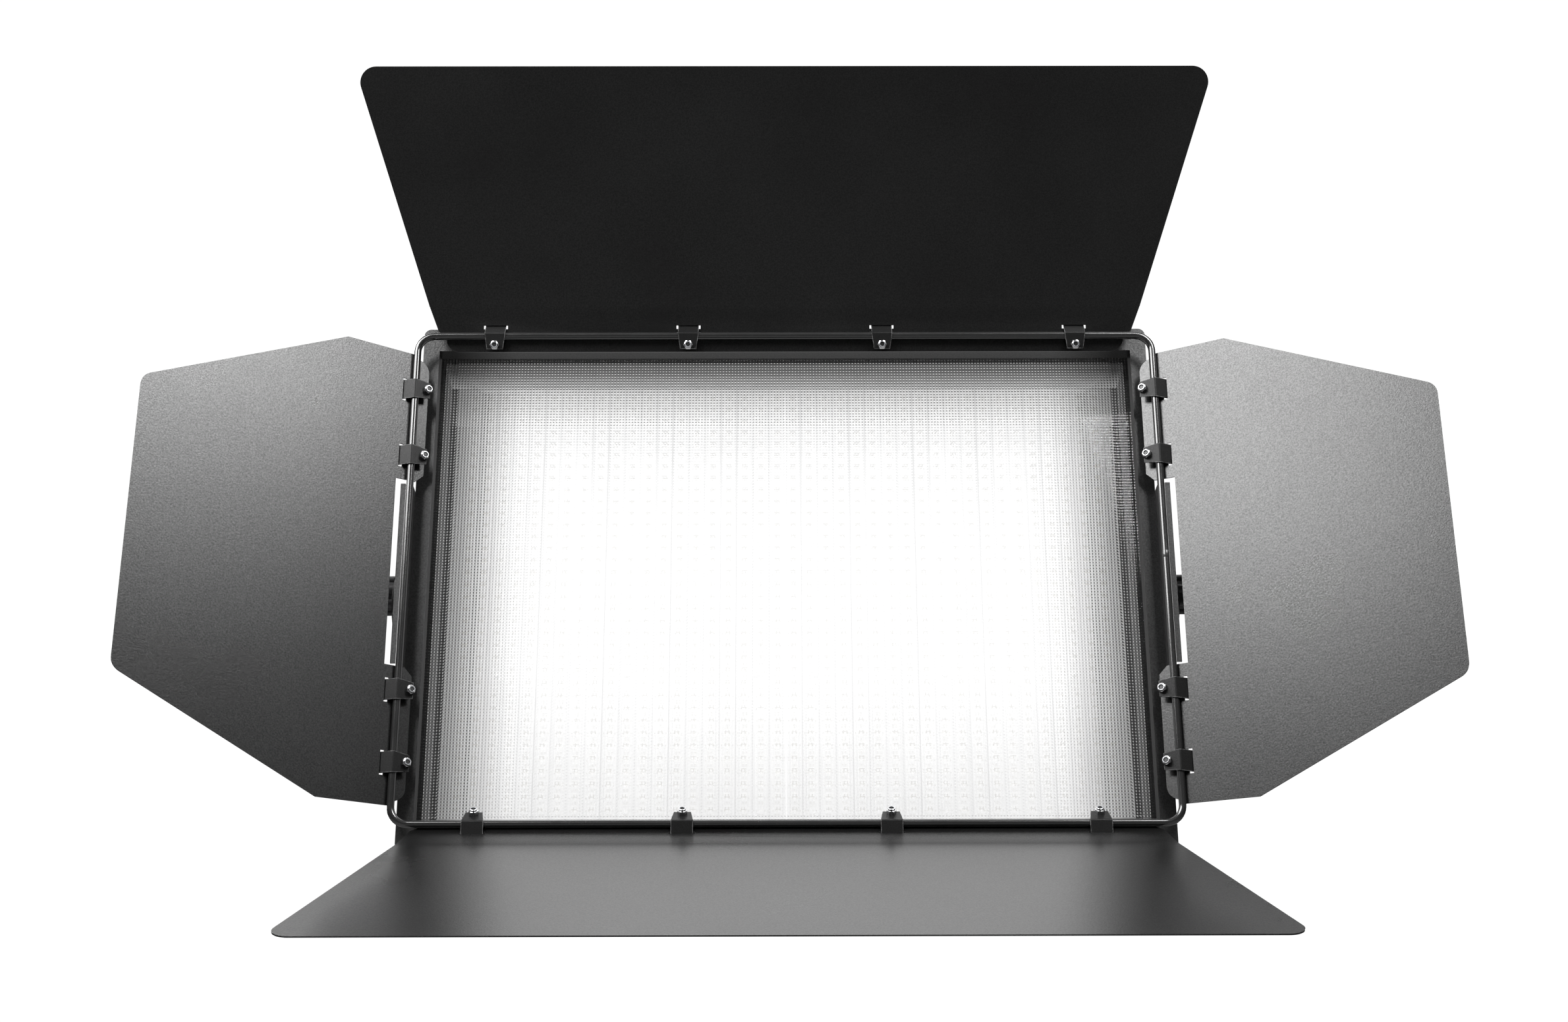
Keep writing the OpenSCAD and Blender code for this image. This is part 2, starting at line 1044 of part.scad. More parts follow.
module side_tab() {
  z1 = side_hinge / 2 - 4;
  r = 12;
  difference() {
    union() {
      translate([cutout_half, -tab_len])
        square([z1 - r - cutout_half, tab_len + 1]);
      translate([cutout_half, -tab_len + r])
        square([z1 - cutout_half, tab_len - r + 1]);
      translate([z1 - r, -tab_len + r])
        circle(r);
    }
    polygon([[cutout_half - 1, -tab_len - 1], [cutout_half + 7, -tab_len - 1],
      [cutout_half + 7, -tab_len], [cutout_half, -tab_len + 7],
      [cutout_half - 1, -tab_len + 7]]);
  }
}

module side_outline() {
  h = side_hinge / 2;
  w = side_wide / 2;
  e = side_end / 2;
  r = 13;
  slope = atan((w - e) / (side_len - side_wide_at));
  cx = e - r * (1 - sin(slope)) / cos(slope);
  cy = side_len - r;
  tx = cx + r * cos(slope);
  ty = cy + r * sin(slope);
  difference() {
    union() {
      polygon([[-h, 0], [h, 0], [w, side_wide_at], [tx, ty], [cx, side_len],
        [-cx, side_len], [-tx, ty], [-w, side_wide_at]]);
      for (s = [-1, 1])
        translate([s * cx, cy])
          circle(r);
      for (s = [0, 1])
        mirror([s, 0])
          side_tab();
    }
    translate([-cutout_half, -1])
      square([2 * cutout_half, 12.5]);
    clip_cuts(clip_ends_side);
  }
}

module side_leaf() {
  sheet()
    side_outline();
}

module leaf_top() {
  color("#1a1a1b")
    hinge_top()
      wide_leaf();
}

module leaf_bottom() {
  color("#1a1a1b")
    hinge_bottom()
      wide_leaf();
}

module leaf_left() {
  color("#1a1a1b")
    hinge_left()
      side_leaf();
}

module leaf_right() {
  color("#1a1a1b")
    hinge_right()
      side_leaf();
}

// ---------- clips, bolts and nuts of the leaves ----------

// bent strap: flat leg over the wire, sloping leg hooked through the slot
module clip() {
  leg = 12.2;
  r = 2;
  top_h = back_h + clip_t;
  tip_h = -back_h - leaf_t - 0.3;
  crest = 1.6;
  run = 1 / tan(clip_slope);
  skew = clip_t / sin(clip_slope) - clip_t * run;
  difference() {
    union() {
      translate([0, 0, back_h])
        linear_extrude(clip_t)
          union() {
            translate([-clip_w / 2, -leg + r])
              square([clip_w, leg - r + crest]);
            translate([-clip_w / 2 + r, -leg])
              square([clip_w - 2 * r, leg]);
            for (s = [-1, 1])
              translate([s * (clip_w / 2 - r), -leg + r])
                circle(r);
          }
      translate([-clip_w / 2, 0, 0])
        rotate([90, 0, 90])
          linear_extrude(clip_w)
            polygon([
              [crest - 0.5, back_h],
              [crest, back_h],
              [crest + (back_h - tip_h + clip_t) * run, tip_h - clip_t],
              [13, tip_h - clip_t],
              [13, tip_h],
              [crest + skew + (top_h - tip_h) * run, tip_h],
              [crest + skew, top_h],
              [crest - 0.5, top_h]]);
    }
    translate([0, -clip_bolt_at, 0])
      rod_z(0, 10, 2.1);
  }
}

module clip_bolt() {
  back = -back_h - leaf_t;
  translate([0, -clip_bolt_at, 0]) {
    rod_z(back - 2.2, back, 3.6);
    rod_z(back, back_h + clip_t + 5.6, 1.95);
  }
}

// lock nut with a round collar over its insert
module clip_nut() {
  base = back_h + clip_t;
  translate([0, -clip_bolt_at, 0])
    difference() {
      union() {
        translate([0, 0, base])
          rotate(30)
            cylinder(r = 4.04, h = 3.2, $fn = 6);
        rod_z(base + 3, base + 5, 3.1);
      }
      rod_z(base - 1, base + 6, 2);
    }
}

module clip_row(places) {
  for (x = places)
    translate([x, 0, 0])
      children();
}

module clips_top() {
  color("#2b2b2d")
    hinge_top()
      clip_row(clip_ends_wide)
        clip();
}

module clip_bolts_top() {
  color("#b9bbbd")
    hinge_top()
      clip_row(clip_ends_wide)
        clip_bolt();
}

module clip_nuts_top() {
  color("#d5d6d8")
    hinge_top()
      clip_row(clip_ends_wide)
        clip_nut();
}

module clips_bottom() {
  color("#2b2b2d")
    hinge_bottom()
      clip_row(clip_ends_wide)
        clip();
}

module clip_bolts_bottom() {
  color("#b9bbbd")
    hinge_bottom()
      clip_row(clip_ends_wide)
        clip_bolt();
}

module clip_nuts_bottom() {
  color("#d5d6d8")
    hinge_bottom()
      clip_row(clip_ends_wide)
        clip_nut();
}

module clips_left() {
  color("#2b2b2d")
    hinge_left()
      clip_row(clip_ends_side)
        clip();
}

module clip_bolts_left() {
  color("#b9bbbd")
    hinge_left()
      clip_row(clip_ends_side)
        clip_bolt();
}

module clip_nuts_left() {
  color("#d5d6d8")
    hinge_left()
      clip_row(clip_ends_side)
        clip_nut();
}

module clips_right() {
  color("#2b2b2d")
    hinge_right()
      clip_row(clip_ends_side)
        clip();
}

module clip_bolts_right() {
  color("#b9bbbd")
    hinge_right()
      clip_row(clip_ends_side)
        clip_bolt();
}

module clip_nuts_right() {
  color("#d5d6d8")
    hinge_right()
      clip_row(clip_ends_side)
        clip_nut();
}

hoop();
bracket_left();
bracket_right();
bracket_screws();
bezel();
bezel_screws();
lens();
lens_gasket();
light_box();
led_board_left();
led_board_right();
board_screws();
heat_plate();
heatsink_left();
heatsink_right();
rear_shell();
power_supply();
driver_board();
control_board();
control_panel();
panel_screws();
display();
encoders();
knob_level();
knob_colour();
button_1();
button_2();
button_3();
switch_frame();
switch_rocker();
power_inlet();
data_sockets();
boss_left();
boss_right();
tilt_washers();
yoke();
tilt_knob_left();
tilt_knob_right();
stand_socket();
socket_screws();
socket_lock();
safety_eye();
leaf_top();
clips_top();
clip_bolts_top();
clip_nuts_top();
leaf_bottom();
clips_bottom();
clip_bolts_bottom();
clip_nuts_bottom();
leaf_left();
clips_left();
clip_bolts_left();
clip_nuts_left();
leaf_right();
clips_right();
clip_bolts_right();
clip_nuts_right();
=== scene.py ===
"""Visual model of the LED panel light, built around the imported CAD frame. Metres throughout."""

import json
import math

import bmesh
import bpy
from mathutils import Matrix, Vector


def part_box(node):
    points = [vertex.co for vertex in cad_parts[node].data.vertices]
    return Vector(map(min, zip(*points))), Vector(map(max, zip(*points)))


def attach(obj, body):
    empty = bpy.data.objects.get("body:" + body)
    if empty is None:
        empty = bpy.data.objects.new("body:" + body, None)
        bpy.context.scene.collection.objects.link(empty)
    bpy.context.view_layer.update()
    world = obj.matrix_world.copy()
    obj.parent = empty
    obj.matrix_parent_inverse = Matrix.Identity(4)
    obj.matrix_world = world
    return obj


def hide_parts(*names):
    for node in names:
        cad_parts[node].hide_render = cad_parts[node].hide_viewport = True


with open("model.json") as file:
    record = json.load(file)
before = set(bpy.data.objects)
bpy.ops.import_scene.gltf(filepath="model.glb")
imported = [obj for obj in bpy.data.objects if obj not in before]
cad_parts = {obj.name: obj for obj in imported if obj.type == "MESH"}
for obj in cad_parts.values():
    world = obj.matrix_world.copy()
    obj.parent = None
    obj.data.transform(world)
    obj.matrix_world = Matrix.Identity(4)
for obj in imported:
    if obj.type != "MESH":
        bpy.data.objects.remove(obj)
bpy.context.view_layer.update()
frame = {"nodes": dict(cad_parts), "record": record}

MM = 0.001
# points nearer than this are one point; edges above the first angle are sharp, and faces
# within the second angle are one flat face
WELD_GAP = 0.002 * MM
SHARP_DEG, FLAT_DEG = 32, 0.5
EDGES = ("top", "bottom", "left", "right")
# how far each leaf is open at rest, and where its run of the wire lies round the hoop
OPEN_DEG = {"top": 75.0, "bottom": 43.0, "left": 58.0, "right": 64.0}
TURN_DEG = {"top": 0.0, "bottom": 180.0, "left": -90.0, "right": 90.0}


def middle(node):
    """Centre of a CAD node's box."""
    lo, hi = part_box(node)
    return (lo + hi) / 2


HOOP = middle("hoop")
WIRE_R = (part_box("hoop")[1].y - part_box("hoop")[0].y) / 2
HALF_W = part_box("hoop")[1].x - HOOP.x - WIRE_R
HALF_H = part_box("hoop")[1].z - HOOP.z - WIRE_R
RUN_GAP = 0.06 * MM
SHEET_T = 1.2 * MM
# distance from the wire's centre to the near face of the leaf and of the clip
BACK_H = WIRE_R + RUN_GAP
# distance from the wire's centre to the clip bolts
BOLT_AT = 9.0 * MM
# spacing of the LEDs
COLUMN, ROW = 14.4 * MM, 11.3 * MM
# spacing and slope of the lens's pyramids, and the share of a cell that is flat
LENS_PITCH, LENS_SLOPE_DEG, LENS_FLAT = 2.65 * MM, 40.5, 0.26


def lens_grid():
    """Corner of the lens and the exact width and height of one prism cell."""
    lo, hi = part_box("lens")
    counts = [int((hi[k] - lo[k]) / LENS_PITCH) for k in (0, 2)]
    return lo, (hi.x - lo.x) / counts[0], (hi.z - lo.z) / counts[1]


LENS_GRID = lens_grid()


def hinge_frame(edge):
    """Wire along X, the leaf runs out along +Y, its lit side faces +Z."""
    reach = HALF_H if edge in ("top", "bottom") else HALF_W
    return (
        Matrix.Translation(HOOP)
        @ Matrix.Rotation(math.radians(TURN_DEG[edge]), 4, "Y")
        @ Matrix.Translation((0, 0, reach))
        @ Matrix.Rotation(math.radians(180 - OPEN_DEG[edge]), 4, "X")
    )


# ---------- node materials ----------


RANGE_KEYS = ("From Min", "From Max", "To Min", "To Max")


class Shader:
    """One node material. Each helper adds nodes and returns an output socket."""

    def __init__(self, name):
        self.mat = bpy.data.materials.new(name)
        self.mat.use_nodes = True
        self.tree = self.mat.node_tree
        self.tree.nodes.clear()
        self.out = self.node("ShaderNodeOutputMaterial")
        self.bsdf = self.node("ShaderNodeBsdfPrincipled")
        self.place = self.node("ShaderNodeTexCoord").outputs["Object"]
        self.tree.links.new(self.bsdf.outputs[0], self.out.inputs["Surface"])

    def node(self, kind, **props):
        made = self.tree.nodes.new(kind)
        for key, value in props.items():
            setattr(made, key, value)
        return made

    def feed(self, socket, value):
        if isinstance(value, bpy.types.NodeSocket):
            self.tree.links.new(value, socket)
        else:
            socket.default_value = value

    def set(self, **values):
        for key, value in values.items():
            self.feed(self.bsdf.inputs[key.replace("_", " ")], value)

    def emit(self, strength, tone=1.0):
        self.feed(self.bsdf.inputs["Emission Color"], rgba(tone))
        self.feed(self.bsdf.inputs["Emission Strength"], strength)

    def stretched(self, scale):
        made = self.node("ShaderNodeMapping")
        self.feed(made.inputs["Vector"], self.place)
        made.inputs["Scale"].default_value = scale
        return made.outputs[0]

    def noise(self, scale, detail=2.0, rough=0.5, vector=None):
        made = self.node("ShaderNodeTexNoise")
        self.feed(made.inputs["Vector"], vector or self.place)
        made.inputs["Scale"].default_value = scale
        made.inputs["Detail"].default_value = detail
        made.inputs["Roughness"].default_value = rough
        return made.outputs["Fac"]

    def remap(self, value, low, high, to_low, to_high):
        made = self.node("ShaderNodeMapRange")
        self.feed(made.inputs["Value"], value)
        for key, number in zip(RANGE_KEYS, (low, high, to_low, to_high)):
            made.inputs[key].default_value = number
        return made.outputs[0]

    def vary(self, noise, to_low, to_high):
        """Spreads the usual range of a noise between two values."""
        return self.remap(noise, 0.3, 0.7, to_low, to_high)

    def math(self, operation, a, b=0.0):
        made = self.node("ShaderNodeMath", operation=operation)
        self.feed(made.inputs[0], a)
        self.feed(made.inputs[1], b)
        return made.outputs[0]

    def mix(self, factor, a, b):
        made = self.node("ShaderNodeMix", data_type="RGBA")
        self.feed(made.inputs["Factor"], factor)
        self.feed(made.inputs[6], rgba(a))
        self.feed(made.inputs[7], rgba(b))
        return made.outputs[2]

    def ramp(self, factor, stops):
        made = self.node("ShaderNodeValToRGB")
        self.feed(made.inputs[0], factor)
        band = made.color_ramp
        while len(band.elements) < len(stops):
            band.elements.new(0.5)
        for element, (where, level) in zip(band.elements, stops):
            element.position = where
            element.color = (level, level, level, 1)
        return made.outputs["Color"]

    def bump(self, height, strength, distance, normal=None):
        made = self.node("ShaderNodeBump")
        self.feed(made.inputs["Height"], height)
        made.inputs["Strength"].default_value = strength
        made.inputs["Distance"].default_value = distance
        if normal is not None:
            self.feed(made.inputs["Normal"], normal)
        return made.outputs[0]

    def axis(self, index):
        made = self.node("ShaderNodeSeparateXYZ")
        self.feed(made.inputs[0], self.place)
        return made.outputs[index]

    def edges(self, width=1.0 * MM):
        """1 along rounded edges and bends, 0 on flat faces."""
        soft = self.node("ShaderNodeBevel", samples=4)
        soft.inputs["Radius"].default_value = width
        turn = self.node("ShaderNodeVectorMath", operation="DOT_PRODUCT")
        self.feed(turn.inputs[0], soft.outputs[0])
        self.feed(turn.inputs[1], self.node("ShaderNodeNewGeometry").outputs["True Normal"])
        return self.remap(turn.outputs["Value"], 0.99, 0.9, 0.0, 1.0)


def rgba(value):
    """A grey level, an RGB triple or a socket."""
    if isinstance(value, bpy.types.NodeSocket):
        return value
    if isinstance(value, (int, float)):
        return (value, value, value, 1.0)
    return tuple(value) + (1.0,)


def powder_coat(name, tone, rough, peel, depth, wear_and_highlight=0.05, gloss=0.5):
    """Baked powder paint: orange peel bump, cloudy tone, and edges lightened partly as rubbed wear and
    partly as a painted highlight along edges and bends.
    """
    s = Shader(name)
    cloud = s.noise(7.0, 4.0, 0.6)
    grain = s.noise(peel, 2.0, 0.45)
    fine = s.noise(peel * 3.7, 2.0, 0.6)
    base = s.mix(s.vary(cloud, 0.0, 1.0), tone * 0.8, tone * 1.25)
    speck = s.remap(fine, 0.6, 0.8, 0.0, 0.25)
    base = s.mix(speck, base, tone * 2.2)
    # lighter edges: partly rubbed wear, partly a painted highlight along edges and bends
    if wear_and_highlight:
        rub_and_highlight = s.math("MULTIPLY", s.edges(), s.remap(s.noise(260.0, 3.0, 0.7), 0.35, 0.6, 0.0, wear_and_highlight))
        base = s.mix(rub_and_highlight, base, 0.45)
    s.set(Base_Color=base, Roughness=s.vary(cloud, rough - 0.012, rough + 0.012))
    s.set(Specular_IOR_Level=s.vary(s.noise(peel * 1.15, 1.0), gloss * 0.78, gloss * 1.24))
    low = s.bump(s.noise(peel * 0.4, 2.0), 0.012, 0.3 * MM)
    s.set(Normal=s.bump(grain, depth, 0.25 * MM, s.bump(fine, depth * 0.4, 0.1 * MM, low)))
    return s.mat


def gloss_enamel(name, tone, rough=0.12):
    """Baked gloss enamel with fine dust under a clear coat."""
    s = Shader(name)
    cloud = s.noise(22.0, 4.0, 0.6)
    dust = s.remap(s.noise(900.0, 3.0, 0.7), 0.62, 0.8, 0.0, 0.35)
    s.set(Base_Color=s.mix(dust, tone, 0.12), Roughness=s.vary(cloud, rough, rough + 0.12))
    s.set(Coat_Weight=0.4, Coat_Roughness=0.06)
    s.set(Normal=s.bump(s.noise(160.0, 2.0), 0.12, 0.15 * MM))
    return s.mat


def metal(name, tone, rough, grain=(1.0, 1.0, 1.0), scratch=0.08):
    """Plated or milled metal with fine drawn scratches along one axis."""
    s = Shader(name)
    cloud = s.noise(60.0, 4.0, 0.6)
    lines = s.noise(900.0, 3.0, 0.7, s.stretched(grain))
    low, high = [c * 0.8 for c in tone], [min(c * 1.12, 1.0) for c in tone]
    s.set(Base_Color=s.mix(cloud, low, high), Metallic=1.0)
    s.set(Roughness=s.vary(lines, rough - 0.06, rough + 0.1))
    s.set(Normal=s.bump(lines, scratch, 0.05 * MM))
    return s.mat


def plastic(name, tone, rough, grain=1400.0, depth=0.12):
    """Moulded plastic with a fine eroded grain."""
    s = Shader(name)
    cloud = s.noise(45.0, 3.0, 0.6)
    texture = s.noise(grain, 3.0, 0.6)
    low, high = [c * 0.85 for c in tone], [min(c * 1.2, 1.0) for c in tone]
    s.set(Base_Color=s.mix(cloud, low, high))
    s.set(Roughness=s.vary(texture, rough - 0.06, rough + 0.08))
    s.set(Normal=s.bump(texture, depth, 0.06 * MM))
    return s.mat


def circuit_board(name, mask, trace):
    """Solder mask with faint copper runs under it."""
    s = Shader(name)
    brick = s.node("ShaderNodeTexBrick")
    s.feed(brick.inputs["Vector"], s.stretched((260.0, 1.0, 420.0)))
    s.feed(brick.inputs["Color1"], rgba(mask))
    s.feed(brick.inputs["Color2"], rgba([c * 0.9 for c in mask]))
    s.feed(brick.inputs["Mortar"], rgba(trace))
    cloud = s.noise(80.0, 3.0)
    s.set(Base_Color=s.mix(s.remap(cloud, 0.4, 0.6, 0.0, 0.3), brick.outputs["Color"], mask))
    s.set(Roughness=s.vary(cloud, 0.25, 0.45))
    s.set(Normal=s.bump(brick.outputs["Fac"], 0.2, 0.05 * MM))
    return s.mat


def glow_with_painted_shade(s):
    """Strength of the boards' glow: full in the middle, weaker towards their edges, where the dimming is
    painted shade of the light box's walls and the top leaf.
    """
    lo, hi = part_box("led_board_right")
    # the dims at the sides, top and bottom are painted shade
    side_dim, top_dim, bottom_dim = 0.22, 0.52, 0.72
    side_from, side_to = hi.x - 4 * MM, hi.x - 58 * MM
    top_to, bottom_to = hi.z - 31 * MM, HOOP.z - 60 * MM
    sides = s.remap(s.math("ABSOLUTE", s.axis(0)), side_from, side_to, side_dim, 1.0)
    top = s.remap(s.axis(2), hi.z, top_to, top_dim, 1.0)
    bottom = s.remap(s.axis(2), lo.z, bottom_to, bottom_dim, 1.0)
    return s.math("MULTIPLY", s.math("MULTIPLY", sides, top), bottom)


def lit_board(name):
    """White solder mask that glows, with thin dark gaps between the LED columns."""
    s = Shader(name)
    cloud = s.vary(s.noise(30.0, 3.0), 0.96, 1.03)
    column = s.math("FRACT", s.math("DIVIDE", s.math("ABSOLUTE", s.axis(0)), COLUMN))
    off_middle = s.math("ABSOLUTE", s.math("SUBTRACT", column, 0.5))
    gap_from, gap_to, gap_level = 0.45, 0.475, 0.78
    gap = s.remap(off_middle, gap_from, gap_to, 1.0, gap_level)
    # the glow fades towards the board edges as painted shade
    level = s.math("MULTIPLY", s.math("MULTIPLY", glow_with_painted_shade(s), cloud), gap)
    s.set(Base_Color=s.mix(s.noise(300.0), 0.5, 0.58), Roughness=0.4)
    s.emit(level)
    return s.mat


def led_chip(name):
    """Yellowish phosphor of the LED packages, a little below the board's glow."""
    s = Shader(name)
    chip_share = 0.8
    s.set(Base_Color=s.mix(s.noise(900.0), (0.45, 0.43, 0.38), (0.6, 0.58, 0.53)), Roughness=0.35)
    # the chips' glow fades towards the board edges as painted shade
    s.emit(s.math("MULTIPLY", glow_with_painted_shade(s), chip_share))
    return s.mat


def film_with_painted_glow(name):
    """White film on the plate and on the screw heads between the LED columns, with a painted glow like the
    boards' although these parts give no light.
    """
    s = Shader(name)
    film_share = 0.85
    s.set(Base_Color=s.mix(s.noise(200.0), 0.5, 0.6))
    s.set(Roughness=s.vary(s.noise(60.0), 0.4, 0.5))
    # painted glow: the plate and the screw heads are no lamp
    s.emit(s.math("MULTIPLY", glow_with_painted_shade(s), film_share))
    return s.mat


def box_wall(name):
    """Grey paint of the light box, with painted light from the boards: its walls glow more the nearer they
    come to the boards, and the side walls glow less than the top and bottom walls.
    """
    s = Shader(name)
    lo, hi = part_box("light_box")
    depth = s.remap(s.axis(1), lo.y, hi.y, 0.0, 1.0)
    side_wall_painted_light, wall_slant = 0.3, 0.5
    # painted light from the boards, rising along the walls towards them
    painted_climb = s.ramp(depth, ((0.0, 0.0), (0.35, 0.02), (1.0, 0.34)))
    facing = s.node("ShaderNodeSeparateXYZ")
    s.feed(facing.inputs[0], s.node("ShaderNodeTexCoord").outputs["Normal"])
    # painted light: side walls get a smaller share than the top and bottom walls
    lit = s.remap(s.math("ABSOLUTE", facing.outputs[2]), 0.0, 1.0, side_wall_painted_light, 1.0)
    wall = s.math("LESS_THAN", s.math("ABSOLUTE", facing.outputs[1]), wall_slant)
    on_wall = s.math("MULTIPLY", wall, lit)
    grain = s.noise(900.0, 2.0)
    s.set(Base_Color=s.mix(s.noise(12.0), 0.03, 0.045), Roughness=s.vary(grain, 0.45, 0.55))
    s.set(Normal=s.bump(grain, 0.2, 0.2 * MM))
    uneven = s.vary(s.noise(40.0), 0.8, 1.1)
    s.emit(s.math("MULTIPLY", on_wall, uneven), painted_climb)
    return s.mat


def lens_flat(s):
    """1 on the narrow flats between the lens's pyramids, 0 on their slopes."""
    lo, step_x, step_z = LENS_GRID
    across = s.math("FRACT", s.math("DIVIDE", s.math("SUBTRACT", s.axis(0), lo.x), step_x))
    up = s.math("FRACT", s.math("DIVIDE", s.math("SUBTRACT", s.axis(2), lo.z), step_z))
    off = [s.math("ABSOLUTE", s.math("SUBTRACT", part, 0.5)) for part in (across, up)]
    return s.math("GREATER_THAN", s.math("MAXIMUM", *off), 0.5 * (1 - LENS_FLAT))


def prismatic(name):
    """Clear acrylic. Shadow and diffuse rays pass straight and dimmed. Mirrored rays see a painted glow in
    place of the lens, a painted reflection of the panel's light, strongest from the bottom leaf, which
    looks up along the sheet, and fading towards the edges as painted shade."""
    s = Shader(name)
    haze = s.vary(s.noise(180.0, 3.0), 0.02, 0.06)
    s.set(Base_Color=s.mix(s.noise(25.0), 0.92, 0.98), Roughness=haze, IOR=1.49, Transmission_Weight=1.0)
    ahead = s.node("ShaderNodeVectorTransform", vector_type="NORMAL")
    ahead.convert_from, ahead.convert_to = "OBJECT", "WORLD"
    ahead.inputs[0].default_value = (0, -1, 0)
    level = s.node("ShaderNodeMix", data_type="VECTOR")
    s.feed(level.inputs["Factor"], lens_flat(s))
    s.feed(level.inputs[4], s.node("ShaderNodeNewGeometry").outputs["Normal"])
    s.feed(level.inputs[5], ahead.outputs[0])
    s.set(Normal=level.outputs[1])
    path = s.node("ShaderNodeLightPath")
    straight = s.math("MAXIMUM", path.outputs["Is Shadow Ray"], path.outputs["Is Diffuse Ray"])
    mirrored = s.math("GREATER_THAN", path.outputs["Is Glossy Ray"], path.outputs["Is Transmission Ray"])
    clear = s.node("ShaderNodeBsdfTransparent")
    clear.inputs[0].default_value = rgba(0.4)
    # painted reflection: mirrored rays see this emission instead of the lens
    glow = s.node("ShaderNodeEmission")
    view = s.node("ShaderNodeSeparateXYZ")
    s.feed(view.inputs[0], s.node("ShaderNodeNewGeometry").outputs["Incoming"])
    # painted sheen, strongest when seen steeply from below, as from the bottom leaf
    level_view, steep_view = -0.6, -0.9
    painted_sheen = s.remap(view.outputs[2], level_view, steep_view, 0.9, 2.5)
    s.feed(glow.inputs["Strength"], s.math("MULTIPLY", glow_with_painted_shade(s), painted_sheen))
    surface = s.bsdf.outputs[0]
    for factor, shader in ((mirrored, glow), (straight, clear)):
        blend = s.node("ShaderNodeMixShader")
        s.feed(blend.inputs[0], factor)
        s.tree.links.new(surface, blend.inputs[1])
        s.tree.links.new(shader.outputs[0], blend.inputs[2])
        surface = blend.outputs[0]
    s.tree.links.new(surface, s.out.inputs["Surface"])
    return s.mat


def pale_floor(name):
    """Pale seamless paper, lifted towards white for the camera and dim for every other ray."""
    s = Shader(name)
    seen = s.node("ShaderNodeLightPath").outputs["Is Camera Ray"]
    unseen_tone, lift = 0.2, 0.86
    paper = s.mix(s.noise(3.0, 3.0), 0.74, 0.8)
    s.set(Base_Color=s.mix(seen, unseen_tone, paper), Roughness=0.6)
    s.emit(s.math("MULTIPLY", seen, lift))
    return s.mat


def make_materials():
    steel = (0.62, 0.63, 0.65)
    return {
        "wire_black": gloss_enamel("wire_black", tone=0.012),
        "frame_black": powder_coat("frame_black", tone=0.004, rough=0.3, peel=700.0, depth=0.2, wear_and_highlight=0.05),
        "leaf_black": powder_coat("leaf_black", tone=0.003, rough=0.28, peel=720.0, depth=0.2, wear_and_highlight=0.0),
        "clip_black": powder_coat(
            "clip_black", tone=0.007, rough=0.34, peel=1100.0, depth=0.25, wear_and_highlight=0.5, gloss=0.14,
        ),
        "zinc_steel": metal("zinc_steel", tone=steel, rough=0.3),
        "nut_bright": metal("nut_bright", tone=(0.62, 0.62, 0.63), rough=0.2),
        "bolt_steel": metal("bolt_steel", tone=(0.05, 0.05, 0.05), rough=0.38),
        "black_screw": metal("black_screw", tone=(0.1, 0.1, 0.105), rough=0.35),
        "lens_clear": prismatic("lens_clear"),
        "gasket_rubber": plastic(
            "gasket_rubber", tone=(0.02, 0.02, 0.02), rough=0.8, grain=500.0, depth=0.5,
        ),
        "box_grey": box_wall("box_grey"),
        "plate_painted_glow": film_with_painted_glow("plate_painted_glow"),
        "yoke_black": powder_coat("yoke_black", tone=0.01, rough=0.38, peel=600.0, depth=0.4, wear_and_highlight=0.12),
        "board_white": lit_board("board_white"),
        "bare_aluminium": metal(
            "bare_aluminium", tone=(0.72, 0.73, 0.75), rough=0.36, grain=(0.05, 1.0, 1.0), scratch=0.2,
        ),
        "supply_case": metal(
            "supply_case", tone=(0.6, 0.61, 0.63), rough=0.38, grain=(1.0, 1.0, 0.05), scratch=0.15,
        ),
        "board_green": circuit_board("board_green", mask=(0.015, 0.1, 0.045), trace=(0.04, 0.2, 0.09)),
        "panel_black": metal(
            "panel_black", tone=(0.03, 0.03, 0.032), rough=0.42, grain=(0.04, 1.0, 1.0), scratch=0.25,
        ),
        "display_glass": plastic(
            "display_glass", tone=(0.008, 0.011, 0.013), rough=0.12, grain=300.0, depth=0.02,
        ),
        "encoder_metal": metal("encoder_metal", tone=(0.55, 0.55, 0.57), rough=0.3),
        "knob_black": plastic("knob_black", tone=(0.018, 0.018, 0.018), rough=0.48),
        "button_grey": plastic("button_grey", tone=(0.13, 0.13, 0.135), rough=0.62),
        "switch_black": plastic(
            "switch_black", tone=(0.012, 0.012, 0.012), rough=0.25, grain=900.0, depth=0.05,
        ),
        "rocker_red": plastic("rocker_red", tone=(0.42, 0.015, 0.012), rough=0.22, grain=700.0, depth=0.04),
        "inlet_blue": plastic("inlet_blue", tone=(0.02, 0.1, 0.34), rough=0.35),
        "socket_metal": metal("socket_metal", tone=(0.5, 0.51, 0.53), rough=0.28),
        "washer_fibre": plastic(
            "washer_fibre", tone=(0.16, 0.11, 0.07), rough=0.85, grain=400.0, depth=0.5,
        ),
        "tilt_plastic": plastic(
            "tilt_plastic", tone=(0.016, 0.016, 0.017), rough=0.5, grain=1000.0, depth=0.3,
        ),
        "cast_black": powder_coat("cast_black", tone=0.02, rough=0.45, peel=600.0, depth=0.5),
        "led_chip": led_chip("led_chip"),
        "nylon": plastic("nylon", tone=(0.3, 0.31, 0.33), rough=0.4),
        "weld_black": gloss_enamel("weld_black", tone=0.014, rough=0.2),
        "display_lit": plastic("display_lit", tone=(0.2, 0.75, 0.7), rough=0.3),
        "mark_white": plastic("mark_white", tone=(0.75, 0.75, 0.74), rough=0.5),
        "contact_brass": metal("contact_brass", tone=(0.75, 0.58, 0.28), rough=0.25),
        "floor": pale_floor("floor"),
    }


MATS = make_materials()


# ---------- pieces ----------


